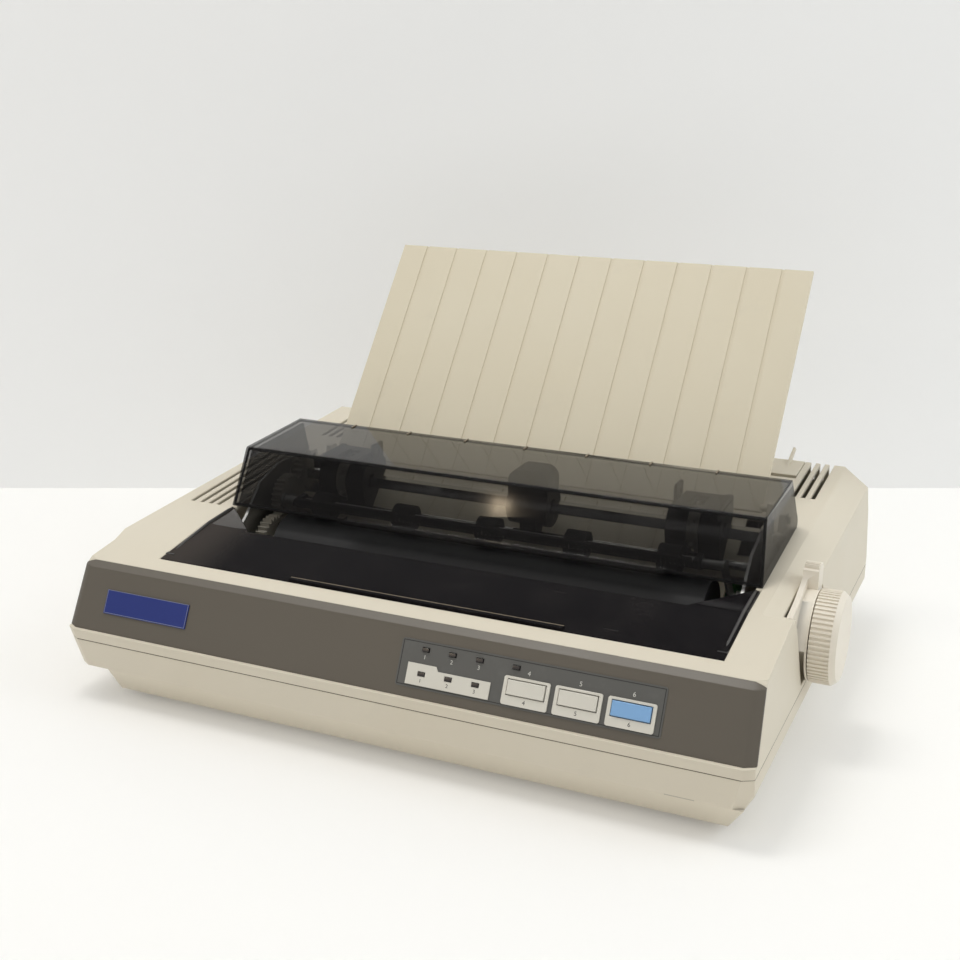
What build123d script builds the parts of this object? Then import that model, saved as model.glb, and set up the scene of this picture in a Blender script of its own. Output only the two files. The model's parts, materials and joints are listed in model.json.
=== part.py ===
from build123d import *
import os
from math import atan2, cos, degrees, hypot, pi, radians, sin, sqrt, tan

# A desktop dot matrix printer. Millimetres, X to the right seen from the front, Y to the back, Z up.
# Sizes are worked out from the middle of the case; finish() then moves each piece so that the origin lies on
# the table under the middle of the whole outline, with the knob and the rear fins.

# ---------------------------------------------------------------- driving dimensions
# Case: outline seen from the side
FRONT_Y, BACK_Y = -144.0, 146.0
FOOT_HEIGHT = 4.0
SEAM_Z = 34.0
KEEL_FRONT_Y, KEEL_BACK_Y = -134.0, 130.0
CHIN_Y, CHIN_Z = -143.5, 19.0
HEEL_Z = 25.0
BAND_TOP_Z = 39.5
PANEL_FOOT_Y = -142.1
PANEL_TOP_Y, PANEL_TOP_Z = -126.9, 69.8
BROW_Y, BROW_Z = -122.4, 72.3
BEND_Y, BEND_Z = -67.0, 80.4
DECK_BACK_Y, DECK_BACK_Z = 144.0, 95.6
# Case: outline seen from the front; its left side leans in to a ledge over a narrower keel
CASE_HALF = 187.5
SEAM_HALF = CASE_HALF + 1.3
TOP_HALF = CASE_HALF - 2.5
KEEL_RIGHT_X = CASE_HALF - 11.0
KEEL_LEFT_X = 25.0 - CASE_HALF
LEDGE_LEFT_X = 6.5 - CASE_HALF
WALL = 2.5
CORNER_WIDTH, CORNER_DEPTH = 5.3, 3.0
# Shoulder facets, from the bend in the deck to the back
RIGHT_FACET_X, RIGHT_FACET_FRONT_DROP, RIGHT_FACET_BACK_DROP = CASE_HALF - 16.0, 2.3, 12.5
LEFT_FACET_X, LEFT_FACET_FRONT_DROP, LEFT_FACET_BACK_DROP = 7.5 - CASE_HALF, 0.4, 9.0

# Fits
RUNNING = 0.05
SEAT = 0.3
GAP = 0.4

# Covers and paper path share a centre line right of the case's middle
COVER_X = 8.2
LID_HALF = 156.2
LID_FRONT_Y = -110.5
LID_BACK_Y = -69.0
LID_THICK = 2.5
LID_LEDGE = 3.0
EAR_TIP_Y = -42.0
EAR_INNER_HALF = 126.8
EAR_TIP_WIDTH = 2.6
LID_PIVOT_Y, LID_PIVOT_Z = -47.0, 78.5
LID_PIN_R = 1.2
LID_GRIP_LEFT_X, LID_GRIP_RIGHT_X = -66.4, 85.9

# Hood
HOOD_FRONT_Y = -40.0
HOOD_BROW_Y, HOOD_BROW_Z = -26.1, 115.1
HOOD_TOP_BACK_Y, HOOD_TOP_BACK_Z = 33.1, 117.9
HOOD_FOOT_HALF, HOOD_DRAFT = 157.1, 3.3
HOOD_TOP_HALF = HOOD_FOOT_HALF - HOOD_DRAFT
HOOD_WALL = 2.5
HOOD_EDGE_R = 2.0
HOOD_PIVOT_Y, HOOD_PIVOT_Z = 38.2, 92.9
HOOD_HEEL_R = 4.4
HOOD_PIN_R = 2.0
HOOD_GRIP_LEFT_X, HOOD_GRIP_RIGHT_X = -71.8, 116.0
HOOD_MARKS, HOOD_MARK_PITCH = 7, 37.8

# Paper guide behind the hood
GUIDE_HALF = 135.7
GUIDE_FOOT_Y, GUIDE_FOOT_Z = 46.2, 95.0
GUIDE_LENGTH = 153.0
GUIDE_LIP = 2.0
GUIDE_LEAN = 39.7
GUIDE_THICK = 2.5
GUIDE_LINES, GUIDE_LINE_PITCH = 12, 21.45
GUIDE_LINE_WIDTH, GUIDE_LINE_DEPTH = 1.8, 0.5
GUIDE_PIN_R = 2.0

# Platen, knob and gears
PLATEN_Y, PLATEN_Z = -25.9, 56.9
PLATEN_R = 20.0
PLATEN_HALF = 128.0
PLATEN_SHAFT_R = 4.0
KNOB_R = 24.0
KNOB_BACK_X = CASE_HALF + 3.5
KNOB_FACE_X = KNOB_BACK_X + 13.4
KNOB_RIBS = 60
KNOB_RIB_DEPTH = 0.7
GEAR_MODULE = 1.0
GEAR_WIDTH = 6.0
PLATEN_TEETH, IDLER_TEETH, TRACTOR_TEETH, PINION_TEETH = 33, 27, 20, 12
PINION_ANGLE = 250.0

# Tractors
DRIVE_Y, DRIVE_Z = 14.0, 90.5
DRIVE_SIDE = 6.0
DRIVE_END_R = 3.0
RAIL_Y, RAIL_Z = 10.0, 73.3
RAIL_R = 2.5
TRACTOR_REACH = PLATEN_HALF - 20.0
TRACTOR_WIDTH = 30.0
SPROCKET_R = 12.0
SPROCKET_WIDTH = 6.0
SPROCKET_PINS = 6
PIN_R, PIN_HEIGHT = 1.7, 2.6
DOOR_THICK = 2.0

# Paper bail
BAIL_PIVOT_Y, BAIL_PIVOT_Z = -2.0, 60.0
BAIL_Y, BAIL_Z = -21.0, 84.2
BAIL_SHAFT_R = 2.5
BAIL_ROLLER_R = 7.35
BAIL_ROLLER_WIDTH = 12.0
BAIL_ROLLERS, BAIL_ROLLER_PITCH = 5, 52.0
BAIL_PIVOT_R = 2.0
BAIL_ARM_HALF, BAIL_ARM_THICK = PLATEN_HALF + 5.2, 1.5

# Print mechanism
FRAME_THICK = 1.6
FRAME_INNER_HALF = PLATEN_HALF + 18.2
TRAY_Z = 12.0
TRAY_THICK = 1.5
ROD_Y, ROD_Z, ROD_R = -66.0, 42.0, 5.0
FRONT_RAIL_Z = 46.0
CARRIAGE_HALF = 24.0
CARRIAGE_X = COVER_X - PLATEN_HALF + 44.8
HEAD_GAP = 1.2
BELT_Y, BELT_Z = -84.0, 33.0
BELT_HEIGHT, BELT_THICK = 5.0, 1.2
PULLEY_R, PULLEY_RIM = 7.1, 1.6
MOTOR_R = 18.0

# Control panel: places are measured along the panel's slope from its foot
PANEL_THICK = 2.0
CONTROL_LEFT_X, CONTROL_RIGHT_X = 10.7, 145.0
CONTROL_LOW, CONTROL_HIGH = 5.0, 28.3
LABEL_THICK = 0.3
KEY_X, KEY_UP, KEY_PITCH = 104.1, 14.55, 25.8
KEY_WIDTH, KEY_HEIGHT, KEY_RISE = 18.8, 7.0, 1.6
KEY_TRAVEL = 1.2
FRAME_WIDTH, FRAME_HEIGHT, FRAME_UP, FRAME_RISE = 23.2, 13.6, 12.95, 0.8
LED_WIDTH, LED_HEIGHT = 3.6, 1.9
LED_X, LED_PITCH, LED_UP, LED_LOW_UP = 38.3, 14.3, 24.0, 12.2
LONE_LED_X = 71.5
BADGE_LEFT_X, BADGE_RIGHT_X, BADGE_LOW, BADGE_HIGH = -167.1, -114.3, 10.5, 23.4

# Lever beside the knob
POCKET_X = CASE_HALF - 10.5
POCKET_FLOOR = 2.5
LEVER_SLOT_X = POCKET_X + 3.4
LEVER_LOW_X, LEVER_HIGH_X = LEVER_SLOT_X + 1.0, LEVER_SLOT_X + 4.0
LEVER_FACE_X = KNOB_BACK_X - 0.5
LEVER_HUB_R, LEVER_DRUM_R = 9.0, 23.6

# ---------------------------------------------------------------- derived sizes
DECK_SLOPE = (DECK_BACK_Z - BEND_Z) / (DECK_BACK_Y - BEND_Y)
BROW_SLOPE = (BEND_Z - BROW_Z) / (BEND_Y - BROW_Y)
PANEL_LENGTH = hypot(PANEL_TOP_Y - PANEL_FOOT_Y, PANEL_TOP_Z - BAND_TOP_Z)
PANEL_UP_Y = (PANEL_TOP_Y - PANEL_FOOT_Y) / PANEL_LENGTH
PANEL_UP_Z = (PANEL_TOP_Z - BAND_TOP_Z) / PANEL_LENGTH
PANEL_FACE = Plane(origin=(0, PANEL_FOOT_Y, BAND_TOP_Z), x_dir=(1, 0, 0),
                   z_dir=(0, -PANEL_UP_Z, PANEL_UP_Y))
LEFT_FRAME_X = COVER_X - FRAME_INNER_HALF
RIGHT_FRAME_X = COVER_X + FRAME_INNER_HALF
TRAY_TOP_Z = TRAY_Z + TRAY_THICK
GEAR_X = LEFT_FRAME_X + 4.0
DRIVE_PULLEY_X = LEFT_FRAME_X + MOTOR_R + 1.0
IDLER_PULLEY_X = RIGHT_FRAME_X + 11.6
FIN_BACK_Y = BACK_Y + 9.0
MIDDLE_X, MIDDLE_Y = (KNOB_FACE_X - SEAM_HALF) / 2, (FRONT_Y + FIN_BACK_Y) / 2
FAR = 400.0


def deck_z(y):
    """Height of the rear deck's outer face at a depth."""
    return BEND_Z + DECK_SLOPE * (y - BEND_Y)


def brow_z(y):
    """Height of the front deck's outer face at a depth."""
    return BROW_Z + BROW_SLOPE * (y - BROW_Y)


def block(x_low, x_high, y_low, y_high, z_low, z_high, mode=Mode.ADD):
    """A box between three pairs of planes."""
    centre = ((x_low + x_high) / 2, (y_low + y_high) / 2, (z_low + z_high) / 2)
    with Locations(centre):
        Box(x_high - x_low, y_high - y_low, z_high - z_low, mode=mode)


def prism_x(outline, x_low, x_high, mode=Mode.ADD):
    """A prism along X between two planes, from an outline of (y, z) points."""
    with BuildSketch(Plane.YZ.offset(x_low)) as face:
        with BuildLine():
            Polyline(*outline, close=True)
        make_face()
    extrude(face.sketch, amount=x_high - x_low, mode=mode)


def prism_z(outline, z_low, z_high, mode=Mode.ADD):
    """A prism along Z between two planes, from an outline of (x, y) points."""
    with BuildSketch(Plane.XY.offset(z_low)) as face:
        with BuildLine():
            Polyline(*outline, close=True)
        make_face()
    extrude(face.sketch, amount=z_high - z_low, mode=mode)


def rod_x(y, z, radius, x_low, x_high, mode=Mode.ADD):
    """A round rod along X between two planes."""
    with BuildSketch(Plane.YZ.offset(x_low)) as face:
        with Locations((y, z)):
            Circle(radius)
    extrude(face.sketch, amount=x_high - x_low, mode=mode)


def rod_z(x, y, radius, z_low, z_high, mode=Mode.ADD):
    """A round rod along Z between two planes."""
    with BuildSketch(Plane.XY.offset(z_low)) as face:
        with Locations((x, y)):
            Circle(radius)
    extrude(face.sketch, amount=z_high - z_low, mode=mode)


def panel_block(x, up, width, height, low, high, mode=Mode.ADD):
    """A box standing on the control panel's slope, between two distances from its face."""
    with BuildSketch(PANEL_FACE.offset(low)) as face:
        with Locations((x, up)):
            Rectangle(width, height)
    extrude(face.sketch, amount=high - low, mode=mode)


def both_sides(half):
    """The two X places at one distance from the covers' centre line."""
    return (COVER_X - half, COVER_X + half)


def finish(piece, name):
    """Places one finished piece in the part's frame, labels it and writes it."""
    placed = piece.part.moved(Location((-MIDDLE_X, -MIDDLE_Y, 0)))
    placed.label = name
    export_step(placed, f"parts/{name}.step")


os.makedirs("parts", exist_ok=True)

# ---------------------------------------------------------------- case block, outside and inside
panel_in_y = PANEL_FOOT_Y + PANEL_THICK / PANEL_UP_Z
rise = (BROW_Z + BROW_SLOPE * (panel_in_y - BROW_Y) - BAND_TOP_Z) / (PANEL_UP_Z - BROW_SLOPE * PANEL_UP_Y)
inner_brow = (panel_in_y + rise * PANEL_UP_Y, BAND_TOP_Z + rise * PANEL_UP_Z)
below = [(BACK_Y, SEAM_Z), (BACK_Y, HEEL_Z), (KEEL_BACK_Y, FOOT_HEIGHT), (KEEL_FRONT_Y, FOOT_HEIGHT),
         (CHIN_Y, CHIN_Z), (FRONT_Y, SEAM_Z), (FRONT_Y, BAND_TOP_Z)]
above = [(BROW_Y, BROW_Z), (BEND_Y, BEND_Z), (DECK_BACK_Y, DECK_BACK_Z)]
outer_side = below + [(PANEL_FOOT_Y, BAND_TOP_Z), (PANEL_TOP_Y, PANEL_TOP_Z)] + above
wall_side = below + [(panel_in_y, BAND_TOP_Z), inner_brow, (BEND_Y, BEND_Z), (DECK_BACK_Y, DECK_BACK_Z)]
right_side = [(KEEL_RIGHT_X, FOOT_HEIGHT), (SEAM_HALF, HEEL_Z), (SEAM_HALF, BAND_TOP_Z),
              (CASE_HALF, PANEL_TOP_Z), (TOP_HALF, DECK_BACK_Z + WALL)]
left_side = [(LEDGE_LEFT_X, CHIN_Z), (-SEAM_HALF, BAND_TOP_Z), (-CASE_HALF, PANEL_TOP_Z),
             (-TOP_HALF, DECK_BACK_Z + WALL)]
front_outline = right_side + left_side[::-1] + [(KEEL_LEFT_X, CHIN_Z), (KEEL_LEFT_X, FOOT_HEIGHT)]


def side_x(way, z):
    """The case's outer side at a height, on the right for 1 and on the left for -1."""
    side = right_side if way > 0 else left_side
    for (x_low, z_low), (x_high, z_high) in zip(side, side[1:]):
        if z <= z_high:
            return x_low + (x_high - x_low) * (z - z_low) / (z_high - z_low)
    return side[-1][0]


def case_form(side_outline, shrink):
    """The case as one solid, drawn in by a wall's thickness all round where shrink is given."""
    with BuildPart() as form:
        with BuildSketch(Plane.YZ):
            with BuildLine():
                Polyline(*side_outline, close=True)
            make_face()
            if shrink:
                offset(amount=-shrink, kind=Kind.INTERSECTION)
        extrude(amount=FAR, both=True)
        with BuildSketch(Plane.XZ):
            with BuildLine():
                Polyline(*front_outline, close=True)
            make_face()
            if shrink:
                offset(amount=-shrink, kind=Kind.INTERSECTION)
        extrude(amount=FAR, both=True, mode=Mode.INTERSECT)
        front_run = [(CHIN_Y, CHIN_Z), (FRONT_Y, SEAM_Z), (FRONT_Y, BAND_TOP_Z),
                     (PANEL_FOOT_Y, BAND_TOP_Z), (PANEL_TOP_Y, PANEL_TOP_Z), (BROW_Y, BROW_Z),
                     (BROW_Y, BEND_Z)]
        for way in (-1, 1):
            for start, end in zip(front_run, front_run[1:]):
                if end[1] > start[1]:
                    for y, z in (start, end):
                        edge_x, edge_y = side_x(way, z) - way * shrink, y + shrink
                        with BuildSketch(Plane.XY.offset(z)):
                            with BuildLine():
                                Polyline((edge_x - way * 2 * CORNER_WIDTH, edge_y - CORNER_DEPTH),
                                         (edge_x + way * CORNER_WIDTH, edge_y - CORNER_DEPTH),
                                         (edge_x + way * CORNER_WIDTH, edge_y + 2 * CORNER_DEPTH),
                                         close=True)
                            make_face()
                    loft(ruled=True, mode=Mode.SUBTRACT)
    return form.part


def facet_cut(front_x, front_drop, back_x, back_drop, way):
    """The wedge that a shoulder facet takes off the deck, from the bend to the back."""
    with BuildPart() as wedge:
        for y, x, drop in ((BEND_Y, front_x, front_drop), (FAR / 2, back_x, back_drop)):
            top = deck_z(y)
            run = (TOP_HALF + WALL - abs(x))
            with BuildSketch(Plane.XZ.offset(-y)):
                with BuildLine():
                    Polyline((x, top), (x + way * run, top - drop), (x + way * FAR, top - drop),
                             (x + way * FAR, top + FAR), (x, top + FAR), close=True)
                make_face()
        loft(ruled=True)
    return wedge.part


def facet_run(drop_front, drop_back):
    """The drop where the wedge's far end lies, so that it has its named value at the deck's back."""
    return drop_front + (drop_back - drop_front) * (FAR / 2 - BEND_Y) / (DECK_BACK_Y - BEND_Y)


left_front_x = -(TOP_HALF + WALL) + 1.0
left_back_x = left_front_x + (LEFT_FACET_X - left_front_x) * (FAR / 2 - BEND_Y) / (DECK_BACK_Y - BEND_Y)
right_wedge = facet_cut(RIGHT_FACET_X, RIGHT_FACET_FRONT_DROP, RIGHT_FACET_X,
                        facet_run(RIGHT_FACET_FRONT_DROP, RIGHT_FACET_BACK_DROP), 1)
left_wedge = facet_cut(left_front_x, LEFT_FACET_FRONT_DROP, left_back_x,
                       facet_run(LEFT_FACET_FRONT_DROP, LEFT_FACET_BACK_DROP), -1)

with BuildPart() as outer_form:
    add(case_form(outer_side, 0))
    add(right_wedge, mode=Mode.SUBTRACT)
    add(left_wedge, mode=Mode.SUBTRACT)

with BuildPart() as cavity:
    add(case_form(wall_side, WALL))
    add(right_wedge.moved(Location((-WALL / 2, 0, -WALL))), mode=Mode.SUBTRACT)
    add(left_wedge.moved(Location((WALL / 2, 0, -WALL))), mode=Mode.SUBTRACT)

# ---------------------------------------------------------------- case shells
SCREW_LEFT_X, SCREW_RIGHT_X, SCREW_FRONT_Y, SCREW_BACK_Y = 14.0 - CASE_HALF, CASE_HALF - 17.5, -112.0, 126.0
SCREW_POST_R, SCREW_R, SCREW_HEAD_R, SCREW_LENGTH = 6.0, 1.7, 3.3, 18.0
TRAY_LEFT_X, TRAY_RIGHT_X, TRAY_FRONT_Y, TRAY_BACK_Y = KEEL_LEFT_X + 5.0, CASE_HALF - 25.5, -112.0, 128.0
WELL_HALF = LID_HALF + GAP - LID_LEDGE
SLOT_HALF = GUIDE_HALF + 2.3
WELL_BACK_Y, HOOD_SEAT_Y = 47.0, 28.0
ENTRY_HALF, ENTRY_Y, ENTRY_FLOOR_Z, ENTRY_GAP = 139.5, 119.0, 88.3, 4.5
LEFT_VENTS_X = (-176.0, -169.6, -163.6, -158.0)
BACK_VENTS_X = (-161.5, -156.0, -150.5, 152.7, 158.2, 163.8)
VENT_WIDTH, LEFT_VENT_Y, LEFT_VENT_END_Y, BACK_VENT_Y = 2.6, -41.0, 60.0, 86.0
LID_LUG_HALF, LID_LUG_WIDTH = LID_HALF + 1.0, 3.0
HOOD_LUG_HALF, HOOD_LUG_WIDTH = 147.6, 3.9
GUIDE_LUG_HALF, GUIDE_LUG_WIDTH = GUIDE_HALF + 2.9, 3.4
GUIDE_PIVOT_Y = GUIDE_FOOT_Y + GUIDE_THICK / 2
GUIDE_PIVOT_Z = GUIDE_FOOT_Z
POWER_X, POWER_Z, POWER_HALF, POWER_RISE = -126.0, 52.0, 33.0, 14.0
PORT_X, PORT_Z, PORT_HALF, PORT_RISE = 78.0, 50.0, 36.0, 10.0
POCKET_FRONT_Y, POCKET_BACK_Y, POCKET_LOW_Z, POCKET_HIGH_Z = -67.6, 6.0, 37.5, 77.0
LEVER_SLOT_FRONT_Y, LEVER_SLOT_BACK_Y, LEVER_SLOT_Z = -62.0, -9.0, 74.0
TRAY_POST_PITCH_X, TRAY_POST_PITCH_Y, TRAY_POST_R = 130.0, 192.0, 4.0
FLOOR_VENTS_X, FLOOR_VENT_Y, FLOOR_VENT_PITCH, FLOOR_VENT_COUNT = (-60.0, 70.0), 60.0, 7.0, 8
FLOOR_VENT_WIDTH, FLOOR_VENT_LENGTH = 3.0, 50.0
BOARD_GAP, BOARD_THICK = 9.0, 1.6
BOARD_LEFT_X, BOARD_RIGHT_X, BOARD_LOW, BOARD_HIGH = 3.0, 153.0, 4.0, 29.0

PANEL_END_THICK = CORNER_DEPTH + 0.8


def fascia_band(thick):
    """Section of the grey fascia: the panel's slope and its bevelled top edge, of one thickness."""
    back_y = PANEL_FOOT_Y + thick / PANEL_UP_Z
    inner_z = PANEL_TOP_Z - PANEL_THICK / 2
    inner_y = back_y + (inner_z - BAND_TOP_Z) * PANEL_UP_Y / PANEL_UP_Z
    return [(PANEL_FOOT_Y, BAND_TOP_Z), (PANEL_TOP_Y, PANEL_TOP_Z), (BROW_Y, BROW_Z),
            (max(BROW_Y, inner_y + 0.1), BROW_Z - PANEL_THICK / 2), (inner_y, inner_z),
            (back_y, BAND_TOP_Z)]


with BuildPart() as panel_slab:
    prism_x(fascia_band(PANEL_THICK), -FAR, FAR)
    for way in (-1, 1):
        end_x = CASE_HALF - CORNER_WIDTH - WALL / 2
        prism_x(fascia_band(PANEL_END_THICK), *sorted((way * end_x, way * FAR)))

with BuildPart() as inside:
    add(cavity.part)
    block(POCKET_X - POCKET_FLOOR, FAR, POCKET_FRONT_Y - WALL, POCKET_BACK_Y + WALL, SEAM_Z + 1, FAR,
          mode=Mode.SUBTRACT)
    for x in (SCREW_LEFT_X, SCREW_RIGHT_X):
        for y, top in ((SCREW_FRONT_Y, BEND_Z), (SCREW_BACK_Y, DECK_BACK_Z)):
            rod_z(x, y, SCREW_POST_R, SEAM_Z, top, mode=Mode.SUBTRACT)

with BuildPart() as upper_case:
    add(outer_form.part)
    block(-FAR, FAR, -FAR, FAR, -FAR, SEAM_Z, mode=Mode.SUBTRACT)
    add(panel_slab.part, mode=Mode.SUBTRACT)
    add(inside.part, mode=Mode.SUBTRACT)
    for x in (SCREW_LEFT_X, SCREW_RIGHT_X):
        for y in (SCREW_FRONT_Y, SCREW_BACK_Y):
            rod_z(x, y, SCREW_R, SEAM_Z - 1, SEAM_Z + SCREW_LENGTH / 2 + 3, mode=Mode.SUBTRACT)
    # recess that the lid lies in, and the well below it
    lid_floor = [(LID_FRONT_Y - GAP, brow_z(LID_FRONT_Y) - LID_THICK - SEAT),
                 (BEND_Y, BEND_Z - LID_THICK - SEAT),
                 (EAR_TIP_Y + 1.5, deck_z(EAR_TIP_Y) - LID_THICK - SEAT), (EAR_TIP_Y + 1.5, FAR),
                 (LID_FRONT_Y - GAP, FAR)]
    prism_x(lid_floor, COVER_X - LID_HALF - GAP, COVER_X + LID_HALF + GAP, mode=Mode.SUBTRACT)
    block(*both_sides(WELL_HALF), LID_FRONT_Y + LID_LEDGE, HOOD_SEAT_Y, BAND_TOP_Z, FAR, mode=Mode.SUBTRACT)
    block(*both_sides(LID_HALF + GAP), LID_PIVOT_Y - 4.5, EAR_TIP_Y + 1.5, BAND_TOP_Z, FAR,
          mode=Mode.SUBTRACT)
    block(*both_sides(SLOT_HALF), HOOD_SEAT_Y - 1, WELL_BACK_Y, BAND_TOP_Z, FAR, mode=Mode.SUBTRACT)
    # hinge lugs of the lid, the hood and the guide
    for way in (-1, 1):
        near = COVER_X + way * LID_LUG_HALF
        low, high = sorted((near, near + way * LID_LUG_WIDTH))
        block(low, high, LID_PIVOT_Y - 3.5, LID_PIVOT_Y + 3.5, LID_PIVOT_Z - 4, LID_PIVOT_Z + 2.2)
        low, high = sorted((near + way * LID_LUG_WIDTH, COVER_X + way * LID_HALF))
        rod_x(LID_PIVOT_Y, LID_PIVOT_Z, LID_PIN_R + RUNNING, low, high, mode=Mode.SUBTRACT)
        near = COVER_X + way * HOOD_LUG_HALF
        low, high = sorted((near, near + way * HOOD_LUG_WIDTH))
        prism_x([(HOOD_PIVOT_Y - 7, deck_z(HOOD_PIVOT_Y - 7) - 1),
                 (HOOD_PIVOT_Y + 7, deck_z(HOOD_PIVOT_Y + 7) - 1),
                 (HOOD_PIVOT_Y + 3.5, HOOD_PIVOT_Z + 4), (HOOD_PIVOT_Y - 3.5, HOOD_PIVOT_Z + 4)], low, high)
        rod_x(HOOD_PIVOT_Y, HOOD_PIVOT_Z, HOOD_PIN_R + RUNNING, low, high, mode=Mode.SUBTRACT)
        near = COVER_X + way * GUIDE_LUG_HALF
        low, high = sorted((near, near + way * GUIDE_LUG_WIDTH))
        prism_x([(GUIDE_PIVOT_Y - 6, deck_z(GUIDE_PIVOT_Y - 6) - 1),
                 (GUIDE_PIVOT_Y + 6, deck_z(GUIDE_PIVOT_Y + 6) - 1),
                 (GUIDE_PIVOT_Y + 3.5, GUIDE_PIVOT_Z + 4), (GUIDE_PIVOT_Y - 3.5, GUIDE_PIVOT_Z + 4)], low,
                high)
        rod_x(GUIDE_PIVOT_Y, GUIDE_PIVOT_Z, GUIDE_PIN_R + RUNNING, low, high, mode=Mode.SUBTRACT)
    # vents, and the fanfold paper's entry at the back
    for x in LEFT_VENTS_X:
        block(x - VENT_WIDTH / 2, x + VENT_WIDTH / 2, LEFT_VENT_Y, LEFT_VENT_END_Y, deck_z(LEFT_VENT_Y) - 8,
              FAR,
              mode=Mode.SUBTRACT)
    for x in BACK_VENTS_X:
        block(x - VENT_WIDTH / 2, x + VENT_WIDTH / 2, BACK_VENT_Y, FAR, deck_z(BACK_VENT_Y) - 6, FAR,
              mode=Mode.SUBTRACT)
    block(*both_sides(ENTRY_HALF), ENTRY_Y - ENTRY_GAP, FAR, ENTRY_FLOOR_Z, FAR, mode=Mode.SUBTRACT)
    # windows for the power inlet and the interface, and the one behind the keys
    block(POWER_X - POWER_HALF, POWER_X + POWER_HALF, DECK_BACK_Y - 2 * WALL, FAR, POWER_Z - POWER_RISE,
          POWER_Z + POWER_RISE, mode=Mode.SUBTRACT)
    block(PORT_X - PORT_HALF, PORT_X + PORT_HALF, DECK_BACK_Y - 2 * WALL, FAR, PORT_Z - PORT_RISE,
          PORT_Z + PORT_RISE, mode=Mode.SUBTRACT)
    panel_block((CONTROL_LEFT_X + CONTROL_RIGHT_X) / 2, (CONTROL_LOW + CONTROL_HIGH) / 2,
                CONTROL_RIGHT_X - CONTROL_LEFT_X - 2, CONTROL_HIGH - CONTROL_LOW - 2,
                -PANEL_THICK - 2 * WALL, 0,
                mode=Mode.SUBTRACT)
    for x in (BOARD_LEFT_X + 4, BOARD_RIGHT_X - 4):
        for up in (BOARD_LOW + 4, BOARD_HIGH - 5):
            panel_block(x, up, 5, 5, -BOARD_GAP, -PANEL_THICK - 1)
    # pocket of the knob and the paper release lever
    block(POCKET_X, CASE_HALF - 2, POCKET_FRONT_Y, POCKET_BACK_Y, POCKET_LOW_Z, POCKET_HIGH_Z,
          mode=Mode.SUBTRACT)
    prism_x([(LEVER_SLOT_FRONT_Y, LEVER_SLOT_Z + 5), (-47, POCKET_LOW_Z), (-4, POCKET_LOW_Z), (4, 50),
             (4, 72),
             (LEVER_SLOT_BACK_Y, 80), (LEVER_SLOT_BACK_Y, FAR), (LEVER_SLOT_FRONT_Y, FAR)], CASE_HALF - 3,
            FAR,
            mode=Mode.SUBTRACT)
    block(LEVER_SLOT_X, FAR, LEVER_SLOT_FRONT_Y, LEVER_SLOT_BACK_Y, LEVER_SLOT_Z, FAR, mode=Mode.SUBTRACT)
    rod_x(PLATEN_Y, PLATEN_Z, PLATEN_SHAFT_R + GAP, POCKET_X - 2 * POCKET_FLOOR, POCKET_X + 1,
          mode=Mode.SUBTRACT)
finish(upper_case, "upper_case")

with BuildPart() as lower_case:
    add(outer_form.part)
    block(-FAR, FAR, -FAR, FAR, SEAM_Z, FAR, mode=Mode.SUBTRACT)
    add(cavity.part, mode=Mode.SUBTRACT)
    for x in (SCREW_LEFT_X, SCREW_RIGHT_X):
        for y in (SCREW_FRONT_Y, SCREW_BACK_Y):
            rod_z(x, y, SCREW_POST_R, (FOOT_HEIGHT if x > 0 else CHIN_Z) + 1, SEAM_Z)
            rod_z(x, y, SCREW_R + 0.2, FOOT_HEIGHT - 1, SEAM_Z + 1, mode=Mode.SUBTRACT)
            rod_z(x, y, SCREW_HEAD_R + 0.3, FOOT_HEIGHT - 1, SEAM_Z - SCREW_LENGTH / 2, mode=Mode.SUBTRACT)
    with BuildSketch(Plane.XY.offset(FOOT_HEIGHT + 1)):
        with GridLocations(TRAY_POST_PITCH_X, TRAY_POST_PITCH_Y, 3, 2):
            Circle(TRAY_POST_R)
    extrude(amount=TRAY_Z - FOOT_HEIGHT - 1)
    with Locations(*[(x, FLOOR_VENT_Y, FOOT_HEIGHT + WALL / 2) for x in FLOOR_VENTS_X]):
        with GridLocations(FLOOR_VENT_PITCH, 0, FLOOR_VENT_COUNT, 1):
            Box(FLOOR_VENT_WIDTH, FLOOR_VENT_LENGTH, 2 * WALL, mode=Mode.SUBTRACT)
finish(lower_case, "lower_case")

FOOT_R, FOOT_X, FOOT_FRONT_Y, FOOT_BACK_Y = 9.0, 150.0, -114.0, 110.0
with BuildPart() as rubber_feet:
    for x in (-FOOT_X, FOOT_X):
        for y in (FOOT_FRONT_Y, FOOT_BACK_Y):
            rod_z(x, y, FOOT_R, 0, FOOT_HEIGHT)
    chamfer(rubber_feet.edges().filter_by(GeomType.CIRCLE).group_by(Axis.Z)[0], 1)
finish(rubber_feet, "rubber_feet")

with BuildPart() as case_screws:
    for x in (SCREW_LEFT_X, SCREW_RIGHT_X):
        for y in (SCREW_FRONT_Y, SCREW_BACK_Y):
            head_z = SEAM_Z - SCREW_LENGTH / 2
            rod_z(x, y, SCREW_HEAD_R, head_z - 2.4, head_z)
            rod_z(x, y, SCREW_R - RUNNING, head_z - 1, SEAM_Z + SCREW_LENGTH / 2)
            block(x - 2.2, x + 2.2, y - 0.4, y + 0.4, head_z - 3, head_z - 1.2, mode=Mode.SUBTRACT)
            block(x - 0.4, x + 0.4, y - 2.2, y + 2.2, head_z - 3, head_z - 1.2, mode=Mode.SUBTRACT)
finish(case_screws, "case_screws")

# ---------------------------------------------------------------- front panel, keys and lamps
key_places = [KEY_X + KEY_PITCH * i for i in (-1, 0, 1)]
low_leds = [(LED_X + LED_PITCH * i, LED_LOW_UP) for i in (-1, 0, 1)]
high_leds = [(LED_X + LED_PITCH * i, LED_UP) for i in (-1, 0, 1)] + [(LONE_LED_X, LED_UP)]

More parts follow.
